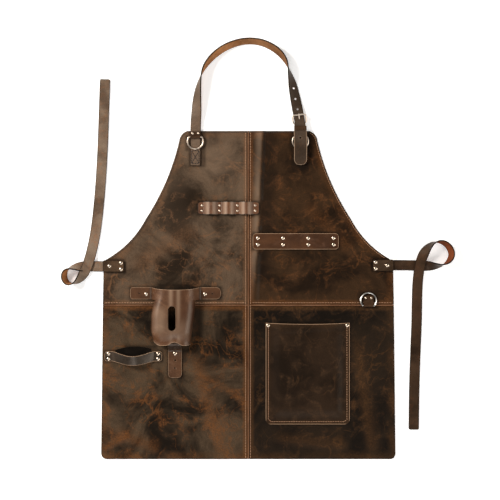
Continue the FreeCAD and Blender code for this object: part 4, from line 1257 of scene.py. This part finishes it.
def holster_marks(x, middle, half, down, is_ear):
    """How dark and how pale a place is: painted shade in the bends, the ears' own darker tone, and
    painted highlights.
    """
    out = abs(x - middle)
    ridge = bell(out - half + 1.5 * MM, 1.3 * MM)
    foot = bell(out - BEND_HALF, 1.2 * MM) if is_ear else 0.0
    on_ear = 0.3 if is_ear and out > BEND_HALF else 0.0
    dark = max((0.85 if is_ear else 0.3) * ridge, 0.9 * foot, on_ear)
    # Painted highlights: streaks beside the slot, the ears' rising flanks, the low front and a patch on
    # the left.
    streaks = max(bell(x - SLOT_MIDDLE_X - at, 4.0 * MM) for at in BEAMS) * (1 - 0.6 * down)
    flank = 0.45 if is_ear and half < out < BEND_HALF - 2 * MM else 0.0
    low_part = 0.3 * smoothstep(0.45, 0.7, down) * (1 - smoothstep(0.75, 0.95, down))
    patch = 0.4 * smoothstep(0.25, 0.45, down) * (1 - smoothstep(0.7, 0.9, down))
    patch *= bell(x - middle - PATCH_X, 13 * MM)
    return dark, max(0.55 * streaks, flank, low_part * bell(out, 26 * MM), patch)


def slot_cutter(crown):
    """The upright slot in the front, wider at the top, which leaves it a bevelled edge."""
    half = (SLOT_HIGH.x - SLOT_LOW.x) / 2
    middle = (SLOT_HIGH + SLOT_LOW) / 2
    reach = (SLOT_HIGH.y - SLOT_LOW.y) / 2 - half
    outline = []
    for n in range(SLOT_SIDES):
        angle = 2 * math.pi * n / SLOT_SIDES
        way = Vector((math.cos(angle), math.sin(angle)))
        outline.append((way, Vector((0, reach if way.y > 0 else -reach))))
    layers = []
    for z, grow in ((8 * MM, 0.0), (crown - 1.6 * MM, 0.0), (crown + 4 * MM, SLOT_BEVEL)):
        radius = half - 0.4 * MM + grow
        layers.append([(*(middle + shift + way * radius), z) for way, shift in outline])
    return prism(layers)


def holster():
    """The holster's front and its two ears, one bent sheet with a slot in it."""
    low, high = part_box("holster")
    middle = (low.x + high.x) / 2
    ear_x = (high.x - low.x) / 2
    seat = low.z + HOLSTER_THICKNESS / 2
    crown = high.z - HOLSTER_THICKNESS / 2
    length = high.y - low.y
    ear_rows = spread(0.0, EAR_WIDTH, HOLSTER_CELL) / length
    low_rows = spread(EAR_WIDTH, length, HOLSTER_CELL)[1:] / length
    grid = []
    for down in np.concatenate([ear_rows, low_rows]):
        drop = 5 * MM * smoothstep(0.75, 1.0, down) - 1.0 * MM * smoothstep(0.94, 1.0, down)
        is_ear = down <= ear_rows[-1] + 1e-9
        foot_z = seat if is_ear else seat + 6.5 * MM * smoothstep(ear_rows[-1], 0.35, down)
        left, right = [
            holster_section(half, crown - drop, BEND_HALF if is_ear else half + 2 * MM, foot_z, ear_x)
            for half in front_halves(down)
        ]
        section = [(middle - x, z) for x, _, z in left[:0:-1]] + [(middle + x, z) for x, _, z in right]
        row = []
        for n, (x, z) in enumerate(section):
            column = n - (len(section) - 1) // 2
            y = high.y - length * down + front_lift(x, column, down)
            end_gap = ear_x - abs(x - middle)
            corner = EAR_CORNERS[int(column > 0)]
            inside = max(0.0, corner - end_gap)
            if is_ear and inside > 0:
                inset = corner - math.sqrt(max(0.0, corner**2 - inside**2))
                ear_middle = high.y - EAR_WIDTH / 2
                y = ear_middle + (y - ear_middle) * (1 - 2 * inset / EAR_WIDTH)
            gaps = [down * length, (1 - down) * length]
            if is_ear and abs(column) > FRONT_COLUMNS:
                gaps += [EAR_WIDTH - down * length, end_gap]
            half = (right if column > 0 else left)[FRONT_COLUMNS][0]
            row.append((x, y, z, max(0.0, min(gaps)), *holster_marks(x, middle, half, down, is_ear)))
        grid.append(row)
    grid = np.array(grid)
    centre = (grid.shape[1] - 1) // 2

    def keep(i, j):
        in_front = centre - FRONT_COLUMNS <= j < centre + FRONT_COLUMNS
        return i < len(ear_rows) - 1 or in_front

    made = shell(
        "holster_leather",
        grid[:, :, :3],
        grid[:, :, 3],
        HOLSTER_THICKNESS,
        [leather_holster, flesh, cut_cream],
        keep=keep,
        marks={"stain": grid[:, :, 4], "faded_and_sheen": grid[:, :, 5]},
        levels=1,
        round_by=0.7,
        stands_for=["holster"],
    )
    cut(made, [slot_cutter(crown)])
    punch(made, EAR_HOLES, EAR_HOLE_RADIUS)


holster()
TONGUE_HOLES = (-150.3 * MM, -166.1 * MM)
# The tongue is flat up to the first of these places, and at its top from the second on.
TONGUE_FLAT_TO, TONGUE_UP_FROM = -129 * MM, -118.5 * MM


def tongue():
    """The strip under the holster: flat on the skirt, then up to the holster's front."""
    low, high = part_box("holster_tongue")
    seat = low.z + HOLSTER_THICKNESS / 2
    top = high.z - HOLSTER_THICKNESS / 2
    corners = [
        (TONGUE_X, low.y, seat),
        (TONGUE_X, TONGUE_FLAT_TO, seat),
        (TONGUE_X, TONGUE_UP_FROM, top),
        (TONGUE_X, high.y, top),
    ]
    points = softened(corners, 4 * MM)
    across = [(-1, 0, 0)] * len(points)
    made = ribbon(
        "holster_tongue_leather",
        points,
        across,
        high.x - low.x,
        HOLSTER_THICKNESS,
        [leather_holster, flesh, cut_cream],
        step=2 * MM,
        end_radius=7 * MM,
        # The tongue's own darker tone, with painted shade in its bend and under the holster's lip.
        stains=[(0.0, 0.45), (0.052, 0.45), (0.056, 1.0), (0.059, 0.5), (0.063, 1.0), (0.09, 1.0)],
        stands_for=["holster_tongue"],
    )
    punch(made, [(TONGUE_X, y) for y in TONGUE_HOLES], HOLE_RADIUS)


tongue()

# ---------------------------------------------------------------- pocket

POCKET_THICKNESS, POCKET_CORNER = 1.6 * MM, 10 * MM
POCKET_FLANGE, POCKET_STITCH = 8.5 * MM, 5.5 * MM


def pocket_lift(x, y, low, high):
    """How far the pocket's leather stands off the skirt: full in the middle, with a fold along its
    right side and creases below the mouth."""
    rise = high.z - low.z - POCKET_THICKNESS
    inwards = min(x - low.x, high.x - x, y - low.y) - POCKET_FLANGE
    swell = smoothstep(0.0, 24 * MM, inwards)
    crease_y = high.y - 27 * MM + 0.07 * (x - low.x)
    crease = 1.2 * MM * bell(y - crease_y, 4.5 * MM)
    ridge_x = high.x - 26 * MM + 0.06 * (y - low.y)
    ridge = 0.9 * MM * bell(x - ridge_x, 7 * MM)
    wave = 0.6 * MM * noise.noise(Vector((x * 22, y * 22, 9.0)))
    return max(0.0, swell * (0.72 * rise - crease + ridge + wave))


def pocket():
    """The patch pocket, bulging from the skirt, and its stitches."""
    low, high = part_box("pocket_front")
    grid = []
    for y in spread(low.y, high.y, CELL):
        corner = max(0.0, POCKET_CORNER - (y - low.y))
        inset = POCKET_CORNER - math.sqrt(max(0.0, POCKET_CORNER**2 - corner**2))
        row = []
        for x in spread(low.x, high.x, CELL)[::-1]:
            share = (x - low.x) / (high.x - low.x)
            x = low.x + inset + share * (high.x - low.x - 2 * inset)
            sag = 2.2 * MM * math.sin(math.pi * share) * smoothstep(high.y - 25 * MM, high.y, y)
            z = low.z + POCKET_THICKNESS + pocket_lift(x, y, low, high)
            gap = min(x - low.x, high.x - x, y - low.y, high.y - y)
            worn = 0.35 * (1 - smoothstep(3 * MM, 10 * MM, gap))
            row.append((x, y - sag, z, gap, worn))
        grid.append(row)
    grid = np.array(grid)
    shell(
        "pocket_leather",
        grid[:, :, :3],
        grid[:, :, 3],
        POCKET_THICKNESS,
        [leather_pocket, flesh, cut_cream],
        offset=-1.0,
        marks={"wear": grid[:, :, 4]},
        stands_for=["pocket_front"],
    )
    inset, mouth = POCKET_STITCH, high.y - 3 * MM
    turn = inset + 5 * MM
    corners = [
        (low.x + inset, mouth),
        (low.x + inset, low.y + turn),
        (low.x + turn, low.y + inset),
        (high.x - turn, low.y + inset),
        (high.x - inset, low.y + turn),
        (high.x - inset, mouth),
    ]
    line = [(x, y, low.z + POCKET_THICKNESS) for x, y in corners]
    stitches("pocket_stitches", [line], thread_tan, pitch=5 * MM)


pocket()

# ---------------------------------------------------------------- strap stitches

strap_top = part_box("ring_holder_left")[0].z
# The left, right, low and high ends of where the neck strap is sewn down.
STRAP_SEWN = (-118.0 * MM, -98.2 * MM, 248.5 * MM, 279.0 * MM)


def boxed_cross(left, right, low, high, z, inset=2.4 * MM):
    """A rectangle of stitches with a cross in it."""
    a, b = (left + inset, low + inset, z), (right - inset, low + inset, z)
    c, d = (right - inset, high - inset, z), (left + inset, high - inset, z)
    return [[a, b], [b, c], [c, d], [d, a], [a, c], [b, d]]


stitches(
    "neck_strap_stitches",
    boxed_cross(*STRAP_SEWN, strap_top),
    thread_dark,
    pitch=4.6 * MM,
    size=0.75 * MM,
    slot="strap_leather",
)

# ---------------------------------------------------------------- CAD pieces that stay

LEATHER_NODES = ["buckle_chape", "strap_keeper"]
LEATHER_NODES += ["ring_holder_left", "ring_holder_right", "ring_holder_waist"]
TAPES = ["centre_seam_tape", "waist_seam_tape_left", "waist_seam_tape_right"]
leather_small = leather(
    "leather_small", (44, 30, 21), (78, 56, 40), (108, 76, 52), 0.5, None, 0.42
)


def paint(name, material):
    """Gives a CAD node a material."""
    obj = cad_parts[name]
    obj.data.materials.clear()
    obj.data.materials.append(material)
    return obj


for name in LEATHER_NODES + TAPES:
    rounded(paint(name, leather_small if name in LEATHER_NODES else flesh), 0.3 * MM)
for name in ("shoulder_ring_left", "shoulder_ring_right", "buckle_frame", "buckle_prong"):
    paint(name, nickel)
paint("waist_ring", steel)
# The lining behind the towel loop is painted near black, as shadow.
paint("towel_loop_lining", painted_shadow_lining)
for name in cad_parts:
    if "rivets" in name:
        paint(name, rivet_nickel)

# ---------------------------------------------------------------- floor

FLOOR_HALF = 6.0
FLOOR_PALE, FLOOR_GLOW = (0.93, 0.93, 0.93, 1), 0.35
floor_material, _, floor_shader = new_material("floor")
floor_shader.inputs["Base Color"].default_value = FLOOR_PALE
floor_shader.inputs["Roughness"].default_value = 0.9
floor_shader.inputs["Emission Color"].default_value = (1.0, 1.0, 1.0, 1)
floor_shader.inputs["Emission Strength"].default_value = FLOOR_GLOW
floor_data = bpy.data.meshes.new("floor")
floor_corners = [(x * FLOOR_HALF, y * FLOOR_HALF, 0) for x, y in ((-1, -1), (1, -1), (1, 1), (-1, 1))]
floor_data.from_pydata(floor_corners, [], [(0, 1, 2, 3)])
floor_data.materials.append(floor_material)
floor = bpy.data.objects.new("floor", floor_data)
bpy.context.scene.collection.objects.link(floor)
